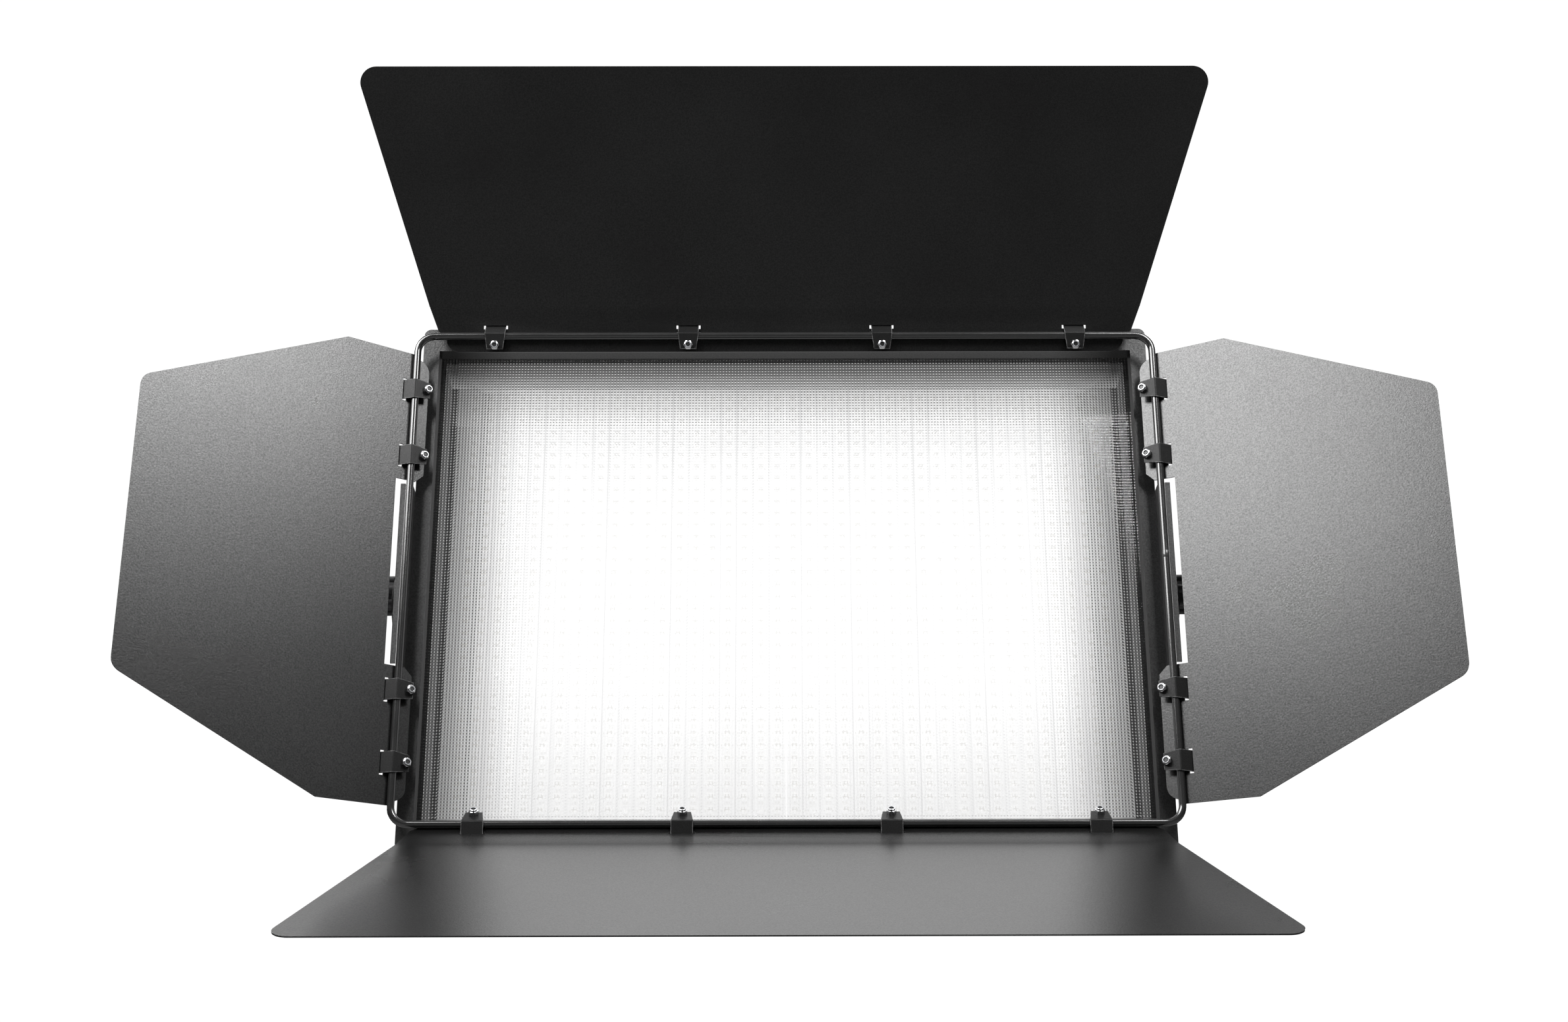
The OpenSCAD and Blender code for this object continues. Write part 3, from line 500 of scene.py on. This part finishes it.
def smooth_group():
    """Geometry nodes: smooth shading with edges above a given angle kept sharp."""
    group = bpy.data.node_groups.new("smooth_by_angle", "GeometryNodeTree")
    group.interface.new_socket("Geometry", in_out="INPUT", socket_type="NodeSocketGeometry")
    group.interface.new_socket("Geometry", in_out="OUTPUT", socket_type="NodeSocketGeometry")
    start, end = group.nodes.new("NodeGroupInput"), group.nodes.new("NodeGroupOutput")
    angle = group.nodes.new("GeometryNodeInputMeshEdgeAngle")
    sharp = group.nodes.new("FunctionNodeCompare")
    sharp.operation = "GREATER_THAN"
    sharp.inputs[1].default_value = math.radians(SHARP_DEG)
    faces, edges = (group.nodes.new("GeometryNodeSetShadeSmooth") for _ in range(2))
    faces.domain, edges.domain = "FACE", "EDGE"
    faces.inputs["Shade Smooth"].default_value = True
    edges.inputs["Shade Smooth"].default_value = False
    group.links.new(start.outputs[0], faces.inputs[0])
    group.links.new(faces.outputs[0], edges.inputs[0])
    group.links.new(angle.outputs["Unsigned Angle"], sharp.inputs[0])
    group.links.new(sharp.outputs[0], edges.inputs["Selection"])
    group.links.new(edges.outputs[0], end.inputs[0])
    return group


SMOOTH = smooth_group()


def shade(obj):
    """Smooth shading by angle, with flat faces kept flat beside rounded edges."""
    obj.modifiers.new("smooth", "NODES").node_group = SMOOTH
    even = obj.modifiers.new("even", "WEIGHTED_NORMAL")
    even.keep_sharp = True


def finish_edges(obj, bevel, segments=2):
    """Welds a tessellated solid, breaks its edges and shades it by angle."""
    weld = obj.modifiers.new("weld", "WELD")
    weld.merge_threshold = WELD_GAP
    if bevel:
        flat = obj.modifiers.new("flat", "DECIMATE")
        flat.decimate_type = "DISSOLVE"
        flat.angle_limit = math.radians(FLAT_DEG)
        edge = obj.modifiers.new("edge", "BEVEL")
        edge.width, edge.segments = bevel, segments
        edge.limit_method, edge.angle_limit = "ANGLE", math.radians(SHARP_DEG)
    shade(obj)


def paint(obj, slot):
    obj.data.materials.clear()
    obj.data.materials.append(MATS[slot])


def dress_cad_nodes():
    """Every CAD node gets its slot's material, except the heat plate, which takes the boards' painted glow;
    all but the plain nodes get broken edges.
    """
    slots = {s["node"]: s["material_slot"] for s in frame["record"]["subparts"]}
    plain = {"lens_gasket", "heatsink_left", "heatsink_right", "led_board_left", "led_board_right"}
    fine = {"button_1", "button_2", "button_3"}
    usual_edge, fine_edge = 0.35 * MM, 0.06 * MM
    for name, obj in frame["nodes"].items():
        # the heat plate gets the boards' painted glow
        paint(obj, "plate_painted_glow" if name == "heat_plate" else slots[name])
        width = fine_edge if name in fine else usual_edge
        finish_edges(obj, 0.0 if name in plain else width)


def piece(name, mesh, body, looks, replaced=()):
    """New piece on a body, with its looks; the CAD nodes it replaces are hidden."""
    obj = bpy.data.objects.new(name, mesh)
    bpy.context.scene.collection.objects.link(obj)
    for look in looks:
        mesh.materials.append(MATS[look])
    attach(obj, body)
    if replaced:
        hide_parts(*replaced)
    return obj


def to_mesh(name, bm, smooth=True):
    """Mesh with all faces turned outwards; bm is used up."""
    bmesh.ops.recalc_face_normals(bm, faces=bm.faces)
    mesh = bpy.data.meshes.new(name)
    for face in bm.faces:
        face.smooth = smooth
    bm.to_mesh(mesh)
    bm.free()
    return mesh


def lathe(bm, frame_matrix, rings, count, material=0, closed=True):
    """Rings of (radius, height) round local Z, joined to one skin. Radius and height are
    numbers or functions of the angle. A closed skin returns to its first ring; an open one
    is capped at both ends."""
    made = []
    for radius, height in rings:
        ring = []
        for i in range(count):
            a = 2 * math.pi * i / count
            r = radius(a) if callable(radius) else radius
            z = height(a) if callable(height) else height
            ring.append(bm.verts.new(frame_matrix @ Vector((r * math.cos(a), r * math.sin(a), z))))
        made.append(ring)
    pairs = list(zip(made, made[1:]))
    if closed:
        pairs.append((made[-1], made[0]))
    for low, high in pairs:
        for i in range(count):
            j = (i + 1) % count
            bm.faces.new((low[i], low[j], high[j], high[i])).material_index = material
    if not closed:
        for ring in (made[0], made[-1]):
            bm.faces.new(ring).material_index = material


def hexagon(across):
    """Radius of a hexagon of this width across flats, as a function of angle."""

    def radius(a):
        return across / 2 / math.cos((a % (math.pi / 3)) - math.pi / 6)

    return radius


CORNERS = ((-1, -1), (1, -1), (1, 1), (-1, 1))


def join_rings(bm, rings):
    """Quads between each ring of four vertices and the next."""
    for low, high in zip(rings, rings[1:]):
        for i in range(4):
            bm.faces.new((low[i], low[(i + 1) % 4], high[(i + 1) % 4], high[i]))


# ---------- lens, boards ----------


def prism_lens():
    """Sheet with square pyramids on its front, inside the CAD lens's own box."""
    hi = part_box("lens")[1]
    lo, dx, dz = LENS_GRID
    nx, nz = round((hi.x - lo.x) / dx), round((hi.z - lo.z) / dz)
    rise = LENS_PITCH / 2 * math.tan(math.radians(LENS_SLOPE_DEG))
    verts = [(lo.x + i * dx, lo.y + rise, lo.z + k * dz) for k in range(nz + 1) for i in range(nx + 1)]
    tips = len(verts)
    verts += [(lo.x + (i + 0.5) * dx, lo.y, lo.z + (k + 0.5) * dz) for k in range(nz) for i in range(nx)]
    faces = []
    for k in range(nz):
        for i in range(nx):
            a = k * (nx + 1) + i
            corner = (a, a + 1, a + nx + 2, a + nx + 1)
            tip = tips + k * nx + i
            faces += [(corner[j], corner[(j + 1) % 4], tip) for j in range(4)]
    back = len(verts)
    rim = [i for i in range(nx)] + [k * (nx + 1) + nx for k in range(nz)]
    rim += [nz * (nx + 1) + i for i in range(nx, 0, -1)] + [k * (nx + 1) for k in range(nz, 0, -1)]
    verts += [(verts[i][0], hi.y, verts[i][2]) for i in rim]
    n = len(rim)
    faces += [(rim[j], back + j, back + (j + 1) % n, rim[(j + 1) % n]) for j in range(n)]
    faces.append([back + j for j in reversed(range(n))])
    mesh = bpy.data.meshes.new("lens_prisms")
    mesh.from_pydata(verts, [], faces)
    mesh.update()
    piece("lens_prisms", mesh, "head", ["lens_clear"], ["lens"])


def chip_shape(bm, at, half_w, half_h, rise):
    """Square package with a sunken window; its front looks along -Y."""
    x, y, z = at
    window, floor_size, floor_rise = 0.78, 0.7, 0.8
    steps = ((1.0, 0.0), (1.0, -rise), (window, -rise), (floor_size, -rise * floor_rise))
    rings = []
    for size, depth in steps:
        w, h = half_w * size, half_h * size
        ring = [(x + sx * w, y + depth, z + sz * h) for sx, sz in CORNERS]
        rings.append([bm.verts.new(spot) for spot in ring])
    join_rings(bm, rings)
    bm.faces.new(rings[0][::-1])
    bm.faces.new(rings[-1])


def led_chips():
    """Rows of LED packages on both boards, clear of the board screws."""
    taken = [c for c, _ in islands("board_screws")]
    clearance, half_w, half_h, rise = 6 * MM, 2.6 * MM, 1.7 * MM, 0.9 * MM
    for side, sign in (("left", -1), ("right", 1)):
        lo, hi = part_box("led_board_" + side)
        bm = bmesh.new()
        rows = int((hi.z - lo.z - ROW) / ROW)
        columns = int((hi.x - lo.x) / COLUMN)
        for k in range(rows + 1):
            z = middle("led_board_left").z + (k - rows / 2) * ROW
            for i in range(columns):
                x = HOOP.x + sign * (i + 0.5) * COLUMN
                if all(abs(c.x - x) > clearance or abs(c.z - z) > clearance for c in taken):
                    chip_shape(bm, (x, lo.y, z), half_w, half_h, rise)
        name = "led_chips_" + side
        piece(name, to_mesh(name, bm, False), "head", ["led_chip"])


def islands(node):
    """Centre and size of each separate solid in a CAD node."""
    bm = bmesh.new()
    bm.from_mesh(frame["nodes"][node].data)
    bmesh.ops.remove_doubles(bm, verts=bm.verts, dist=WELD_GAP)
    todo, found = set(bm.verts), []
    while todo:
        stack, group = [todo.pop()], []
        while stack:
            v = stack.pop()
            group.append(v.co.copy())
            for e in v.link_edges:
                other = e.other_vert(v)
                if other in todo:
                    todo.remove(other)
                    stack.append(other)
        lo = Vector([min(p[k] for p in group) for k in range(3)])
        hi = Vector([max(p[k] for p in group) for k in range(3)])
        found.append(((lo + hi) / 2, hi - lo))
    bm.free()
    return sorted(found, key=lambda f: tuple(round(c, 5) for c in f[0]))


# ---------- clips, bolts and nuts ----------


def clip_places(edge):
    """Distances along the wire, read from the CAD clips' centres."""
    back = hinge_frame(edge).inverted()
    return sorted((back @ c).x for c, _ in islands("clips_" + edge))


def fillet_path(points, radius, steps=5):
    """Polyline with each inner corner replaced by an arc."""
    path = [Vector(points[0])]
    for a, b, c in zip(points, points[1:], points[2:]):
        b, u, v = Vector(b), (Vector(a) - Vector(b)).normalized(), (Vector(c) - Vector(b)).normalized()
        half = u.angle(v) / 2
        reach = radius / math.tan(half)
        centre = b + (u + v).normalized() * radius / math.sin(half)
        start = b + u * reach - centre
        swing = math.pi - 2 * half
        swing = math.copysign(swing, start.cross(b + v * reach - centre))
        for i in range(steps + 1):
            path.append(centre + Matrix.Rotation(swing * i / steps, 2) @ start)
    path.append(Vector(points[-1]))
    return path


def clip_mesh(bm, frame_matrix, x):
    """Bent spring strap: flat leg over the wire, sloping leg through the slot, short foot."""
    t = SHEET_T / 2
    slope_deg, slope_at = 49, 2.395 * MM
    flat_end, foot_end, foot_gap, bend_r = 12.2 * MM, 13 * MM, 0.3 * MM, 1.3 * MM
    half, nose = 9 * MM, 2.0 * MM
    run = 1 / math.tan(math.radians(slope_deg))
    top = BACK_H + t
    foot = -BACK_H - SHEET_T - foot_gap - t
    crest = slope_at - (top - BACK_H) * run
    tail = slope_at + (BACK_H - foot) * run
    path = fillet_path([(-flat_end, top), (crest, top), (tail, foot), (foot_end, foot)], bend_r)
    count = len(path)
    section = []
    for i, p in enumerate(path):
        along = (path[min(i + 1, count - 1)] - path[max(i - 1, 0)]).normalized()
        section.append((p, Vector((-along.y, along.x)) * t))
    rows = []
    for p, n in section:
        reach = half - nose if p.x < -flat_end + nose else half
        sides = [(-reach, 1), (reach, 1), (reach, -1), (-reach, -1)]
        spots = [Vector((x + sx, p.x + s * n.x, p.y + s * n.y)) for sx, s in sides]
        rows.append([bm.verts.new(frame_matrix @ spot) for spot in spots])
    join_rings(bm, rows)
    bm.faces.new(rows[0][::-1])
    bm.faces.new(rows[-1])


def lock_nut(bm, m, low):
    """Hexagon with chamfered faces, domed collar and a nylon ring."""
    flats, cut, tall, chamfer, around = 7.0 * MM, 3.45 * MM, 3.2 * MM, 0.55, 36
    bore, collar, nylon_bore, nylon_r = 2.02 * MM, 3.1 * MM, 2.03 * MM, 2.42 * MM
    face = cut - 0.1 * MM
    high = low + tall
    hexa = hexagon(flats)

    def under(a):
        return low + max(hexa(a) - cut, 0) * chamfer

    def over(a):
        return high - max(hexa(a) - cut, 0) * chamfer

    rings = [(bore, low + 0.3 * MM), (2.3 * MM, low), (face, low), (hexa, under), (hexa, over)]
    rings += [(face, high), (collar, high + 0.1 * MM), (collar, high + 1.2 * MM)]
    rings += [(2.98 * MM, high + 1.6 * MM), (2.7 * MM, high + 1.8 * MM), (2.45 * MM, high + 1.8 * MM)]
    rings += [(2.4 * MM, high + 1.6 * MM), (bore, high + 1.5 * MM)]
    lathe(bm, m, rings, around)
    nylon = [(nylon_bore, high + 0.6 * MM), (nylon_r, high + 0.6 * MM)]
    nylon += [(nylon_r, high + 1.66 * MM), (nylon_bore, high + 1.72 * MM)]
    lathe(bm, m, nylon, around, 1)


def threaded_bolt(bm, m, low, high, radius):
    """Button head with a hexagon socket below low, thread up to high."""
    socket = hexagon(2.5 * MM)
    head = 3.6 * MM
    rings = [(socket, low - 0.7 * MM), (socket, low - 2.05 * MM), (1.55 * MM, low - 2.2 * MM)]
    rings += [(2.3 * MM, low - 2.05 * MM), (3.0 * MM, low - 1.55 * MM), (3.45 * MM, low - 0.8 * MM)]
    rings += [(head, low - 0.25 * MM), (head - 0.1 * MM, low)]
    pitch, step, thread_depth = 0.7 * MM, 0.175 * MM, 0.28 * MM
    tip, tip_cut = 0.5 * MM, 0.35 * MM
    count = int((high - low) / step)
    for i in range(count + 1):
        z = low + (high - low) * i / count
        taper = max(0.0, (z - (high - tip)) / tip) * tip_cut

        def radius_at(a, z=z, taper=taper):
            phase = (z / pitch - a / (2 * math.pi)) % 1.0
            return radius - thread_depth * abs(2 * phase - 1) - taper

        rings.append((radius_at, z))
    lathe(bm, m, rings, 24, closed=False)


# the record's slot and the looks of each kind of clip hardware
CLIP_SLOTS = {
    "clips": ("clip_black", ["clip_black"]),
    "clip_bolts": ("zinc_steel", ["bolt_steel"]),
    "clip_nuts": ("nut_bright", ["nut_bright", "nylon"]),
}


def hardware(edge):
    """Clips, bolts and nuts of one leaf, each kind one piece on the leaf's body."""
    body = "leaf_" + edge
    base = hinge_frame(edge)
    face, bolt_past_face, bolt_r = BACK_H + SHEET_T, 4.3 * MM, 1.95 * MM
    skins = {kind: bmesh.new() for kind in CLIP_SLOTS}
    for x in clip_places(edge):
        at = base @ Matrix.Translation((x, -BOLT_AT, 0))
        clip_mesh(skins["clips"], base, x)
        threaded_bolt(skins["clip_bolts"], at, -face, face + bolt_past_face, bolt_r)
        lock_nut(skins["clip_nuts"], at, face)
    for kind, bm in skins.items():
        name = f"{kind}_{edge}_detail"
        slot, looks = CLIP_SLOTS[kind]
        obj = piece(name, to_mesh(name, bm), body, looks, [f"{kind}_{edge}"])
        if kind == "clips":
            finish_edges(obj, 0.25 * MM)
        else:
            shade(obj)


# ---------- screws, welds and rear details ----------


def button_screw(bm, m, head_r, head_h, shank_r, length):
    """Domed head with a hexagon socket; the head stands at +Z, the shank runs to -Z."""
    socket = hexagon(head_r * 0.95)
    dome = ((0.62, 1.0), (0.86, 0.8), (0.98, 0.45), (1.0, 0.12), (0.97, 0.0))
    rings = [(socket, head_h * 0.3), (socket, head_h)]
    rings += [(head_r * wide, head_h * high) for wide, high in dome]
    rings += [(shank_r, 0.0), (shank_r, -length + 0.3 * MM), (shank_r * 0.8, -length)]
    lathe(bm, m, rings, 24, closed=False)


def toward(axis, spot):
    """Frame at spot with local Z along axis."""
    return Matrix.Translation(spot) @ Vector(axis).to_track_quat("Z", "Y").to_matrix().to_4x4()


def screw_set(node, slot, axis_of, head_h, shank_r, look=None):
    """Replaces a CAD screw node by detailed screws on the same places."""
    bm = bmesh.new()
    for centre, size in islands(node):
        axis = Vector(axis_of(centre))
        k = max(range(3), key=lambda i: abs(axis[i]))
        across = max(size[i] for i in range(3) if i != k) / 2
        top = centre + axis * size[k] / 2
        seat = toward(axis, top - axis * head_h)
        button_screw(bm, seat, across, head_h, shank_r, size[k] - head_h)
    name = node + "_detail"
    shade(piece(name, to_mesh(name, bm), "head", [look or slot], [node]))


def side_axis(centre):
    """Outwards through the nearer side of the head."""
    return (math.copysign(1, centre.x - HOOP.x), 0, 0)


def rim_axis(centre):
    """Bezel screws sit on the nearest of the head's four sides."""
    lo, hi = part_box("bezel")
    near = 6 * MM
    if min(abs(centre.x - lo.x), abs(centre.x - hi.x)) < near:
        return side_axis(centre)
    return (0, 0, math.copysign(1, centre.z - HOOP.z))


def back_axis(centre):
    return (0, 1, 0)


def front_axis(centre):
    return (0, -1, 0)


def all_screws():
    """Height of the head and radius of the shank for each kind of screw."""
    m3, m4 = 1.5 * MM, 1.95 * MM
    screw_set("panel_screws", "zinc_steel", back_axis, 1.8 * MM, m3)
    screw_set("bracket_screws", "zinc_steel", side_axis, 2.2 * MM, m4)
    screw_set("bezel_screws", "black_screw", rim_axis, 1.9 * MM, m3)
    # the board screw heads get the boards' painted glow
    screw_set("board_screws", "zinc_steel", front_axis, 1.6 * MM, m3, "plate_painted_glow")


def weld_bead():
    """Ground butt weld of the hoop wire, on its right side."""
    bm = bmesh.new()
    weld_z, half_long, proud, sunk, steps = 13 * MM, 3.2 * MM, 0.28, 0.02, 12
    at = Matrix.Translation(HOOP + Vector((HALF_W, 0, weld_z)))
    rings = []
    for i in range(steps + 1):
        u = i / steps * 2 - 1

        def radius(a, u=u, i=i):
            ripple = 0.06 * math.sin(5 * a + i * 1.3) + 0.04 * math.sin(9 * a - i * 2.1)
            return WIRE_R + (proud * (1 - u * u) * (1 + ripple) - sunk) * MM

        rings.append((radius, u * half_long))
    lathe(bm, at, rings, 32, closed=False)
    shade(piece("hoop_weld", to_mesh("hoop_weld", bm), "head", ["weld_black"]))


def tack_welds():
    """Short beads that join the wire to the two edge brackets."""
    end, step, drop_r, outside, sunk = 12 * MM, 2.2 * MM, 1.5 * MM, 2.6 * MM, 0.25 * MM
    drops = 7
    for side, sign in (("left", -1), ("right", 1)):
        lo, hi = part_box("bracket_" + side)
        x = HOOP.x + sign * (HALF_W + outside)
        bm = bmesh.new()
        for z in (lo.z + end, HOOP.z, hi.z - end):
            for i in range(drops):
                spot = Vector((x, lo.y - sunk, z + (i - drops // 2) * step))
                drop = bmesh.ops.create_icosphere(bm, subdivisions=2, radius=drop_r)["verts"]
                bmesh.ops.scale(bm, vec=(0.85, 0.45, 1.0), verts=drop)
                bmesh.ops.translate(bm, vec=spot, verts=drop)
        name = "bracket_weld_" + side
        shade(piece(name, to_mesh(name, bm), "head", ["weld_black"]))


def bar(bm, x, z, w, h, y, rise):
    """Low raised block with a bevelled rim on a face that looks along +Y."""
    lip = min(w, h) * 0.12
    rings = []
    for inset, depth in ((0.0, 0.0), (0.0, rise * 0.6), (lip, rise)):
        half_w, half_h = w / 2 - inset, h / 2 - inset
        ring = [(x + sx * half_w, y + depth, z + sz * half_h) for sx, sz in CORNERS]
        rings.append([bm.verts.new(spot) for spot in ring])
    join_rings(bm, rings)
    bm.faces.new(rings[0])
    bm.faces.new(rings[-1][::-1])


def display_content():
    """Two level scales and a row of blocks on the display, with no lettering."""
    mid = middle("display")
    bottom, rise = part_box("display")[1].y - 0.02 * MM, 0.08 * MM
    bm = bmesh.new()
    for row, lit in ((9.5, 17), (-1.0, 11)):
        for i in range(lit):
            tick_x = mid.x + (24 - i * 2.6) * MM
            bar(bm, tick_x, mid.z + row * MM, 1.7 * MM, 5.0 * MM, bottom, rise)
        line_z = mid.z + (row - 4.2) * MM
        bar(bm, mid.x, line_z, 50 * MM, 0.5 * MM, bottom, rise)
    for i in range(4):
        block_x = mid.x + (20 - i * 13.3) * MM
        bar(bm, block_x, mid.z - 11.5 * MM, 9 * MM, 3.0 * MM, bottom, rise)
    mesh = to_mesh("display_scales", bm, False)
    piece("display_scales", mesh, "head", ["display_lit"])


def knob_pointers():
    """White index line on each knob's face."""
    up, wide, long, sunk, rise = 5.6 * MM, 1.1 * MM, 7.2 * MM, 0.05 * MM, 0.25 * MM
    for kind in ("level", "colour"):
        knob, name = "knob_" + kind, "pointer_" + kind
        mid = middle(knob)
        bm = bmesh.new()
        bar(bm, mid.x, mid.z + up, wide, long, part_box(knob)[1].y - sunk, rise)
        piece(name, to_mesh(name, bm, False), knob, ["mark_white"])


def contact(bm, base, circle, turn_deg, rings):
    """Round contact that points along +Y, on a circle round base."""
    a = math.radians(turn_deg)
    spot = (base.x + circle * math.cos(a), base.y, base.z + circle * math.sin(a))
    lathe(bm, toward((0, 1, 0), spot), rings, 16, closed=False)


def contact_pins():
    """Five contacts in each data socket and three blades in the power inlet."""
    bm = bmesh.new()
    pin = ((0.95 * MM, 0), (0.95 * MM, 7.5 * MM), (0.5 * MM, 8.4 * MM))
    blade = ((1.2 * MM, 0), (1.2 * MM, 9 * MM), (0.8 * MM, 9.6 * MM))
    pin_circle, pin_depth, blade_circle, blade_depth = 4.7 * MM, 14.4 * MM, 7.7 * MM, 17 * MM
    for centre, size in islands("data_sockets"):
        base = Vector((centre.x, centre.y + size.y / 2 - pin_depth, centre.z))
        for i in range(5):
            contact(bm, base, pin_circle, 230 - i * 70, pin)
    inlet, top = middle("power_inlet"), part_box("power_inlet")[1].y
    base = Vector((inlet.x, top - blade_depth, inlet.z))
    for i in range(3):
        contact(bm, base, blade_circle, 90 + 120 * i, blade)
    shade(piece("contacts", to_mesh("contacts", bm), "head", ["contact_brass"]))


# ---------- stage, light and camera ----------


def softbox(name, offset, size, power):
    """Rectangular light that faces the hoop; offset and size in metres, power in watts."""
    data = bpy.data.lights.new(name, "AREA")
    data.shape, data.size, data.size_y, data.energy = "RECTANGLE", size[0], size[1], power
    light = bpy.data.objects.new(name, data)
    bpy.context.scene.collection.objects.link(light)
    light.location = HOOP + Vector(offset)
    light.rotation_euler = (HOOP - light.location).to_track_quat("-Z", "Y").to_euler()


def studio():
    softbox("key_left", offset=(-1.53, -1.42, 1.46), size=(2.0, 1.3), power=131)
    softbox("fill_right", offset=(1.17, -1.62, 1.63), size=(1.1, 1.1), power=72)
    softbox("overhead", offset=(0, 0.35, 2.3), size=(0.9, 1.2), power=36)
    softbox("rear_left", offset=(-1.7, 1.9, 1.1), size=(2.4, 1.8), power=70)
    softbox("rear_right", offset=(1.6, 2.1, 0.9), size=(2.4, 1.8), power=55)


def white_world():
    """Pure white to the camera, a soft dim sky to everything else."""
    world = bpy.data.worlds.new("studio")
    bpy.context.scene.world = world
    world.use_nodes = True
    tree = world.node_tree
    tree.nodes.clear()
    out = tree.nodes.new("ShaderNodeOutputWorld")
    mix = tree.nodes.new("ShaderNodeMixShader")
    seen, ambient = (tree.nodes.new("ShaderNodeBackground") for _ in range(2))
    seen.inputs["Color"].default_value = (1, 1, 1, 1)
    backdrop_level = 1.05
    seen.inputs["Strength"].default_value = backdrop_level
    path = tree.nodes.new("ShaderNodeLightPath")
    coord = tree.nodes.new("ShaderNodeTexCoord")
    split = tree.nodes.new("ShaderNodeSeparateXYZ")
    level = tree.nodes.new("ShaderNodeMapRange")
    low_sky, high_sky, dim_sky, bright_sky = -0.1, 0.9, 0.05, 0.4
    for key, number in zip(RANGE_KEYS, (low_sky, high_sky, dim_sky, bright_sky)):
        level.inputs[key].default_value = number
    tree.links.new(coord.outputs["Generated"], split.inputs[0])
    tree.links.new(split.outputs["Z"], level.inputs["Value"])
    tree.links.new(level.outputs[0], ambient.inputs["Strength"])
    tree.links.new(path.outputs["Is Camera Ray"], mix.inputs[0])
    tree.links.new(ambient.outputs[0], mix.inputs[1])
    tree.links.new(seen.outputs[0], mix.inputs[2])
    tree.links.new(mix.outputs[0], out.inputs["Surface"])


def floor():
    half_size, below_hoop = 9.0, 1.15
    bm = bmesh.new()
    bmesh.ops.create_grid(bm, x_segments=8, y_segments=8, size=half_size)
    mesh = bpy.data.meshes.new("floor")
    bm.to_mesh(mesh)
    bm.free()
    obj = bpy.data.objects.new("floor", mesh)
    bpy.context.scene.collection.objects.link(obj)
    mesh.materials.append(MATS["floor"])
    obj.location.z = HOOP.z - below_hoop


def camera():
    """From below and in front, where the photograph was taken."""
    lens_mm, offset = 55.06, (-0.01046, -1.88327, -0.71419)
    yaw, pitch, roll = -0.00478, 0.38696, 0.00357
    data = bpy.data.cameras.new("camera")
    data.lens = lens_mm
    cam = bpy.data.objects.new("camera", data)
    bpy.context.scene.collection.objects.link(cam)
    turn = Matrix.Rotation(yaw, 4, "Z") @ Matrix.Rotation(pitch, 4, "X")
    turn = turn @ Matrix.Rotation(roll, 4, "Y") @ Matrix.Rotation(math.pi / 2, 4, "X")
    cam.matrix_world = Matrix.Translation(HOOP + Vector(offset)) @ turn
    data.clip_start, data.clip_end = 0.05, 60
    bpy.context.scene.camera = cam


dress_cad_nodes()
prism_lens()
led_chips()
for edge in EDGES:
    hardware(edge)
all_screws()
weld_bead()
tack_welds()
display_content()
knob_pointers()
contact_pins()
studio()
white_world()
floor()
camera()
bpy.context.scene.view_settings.view_transform = "Standard"
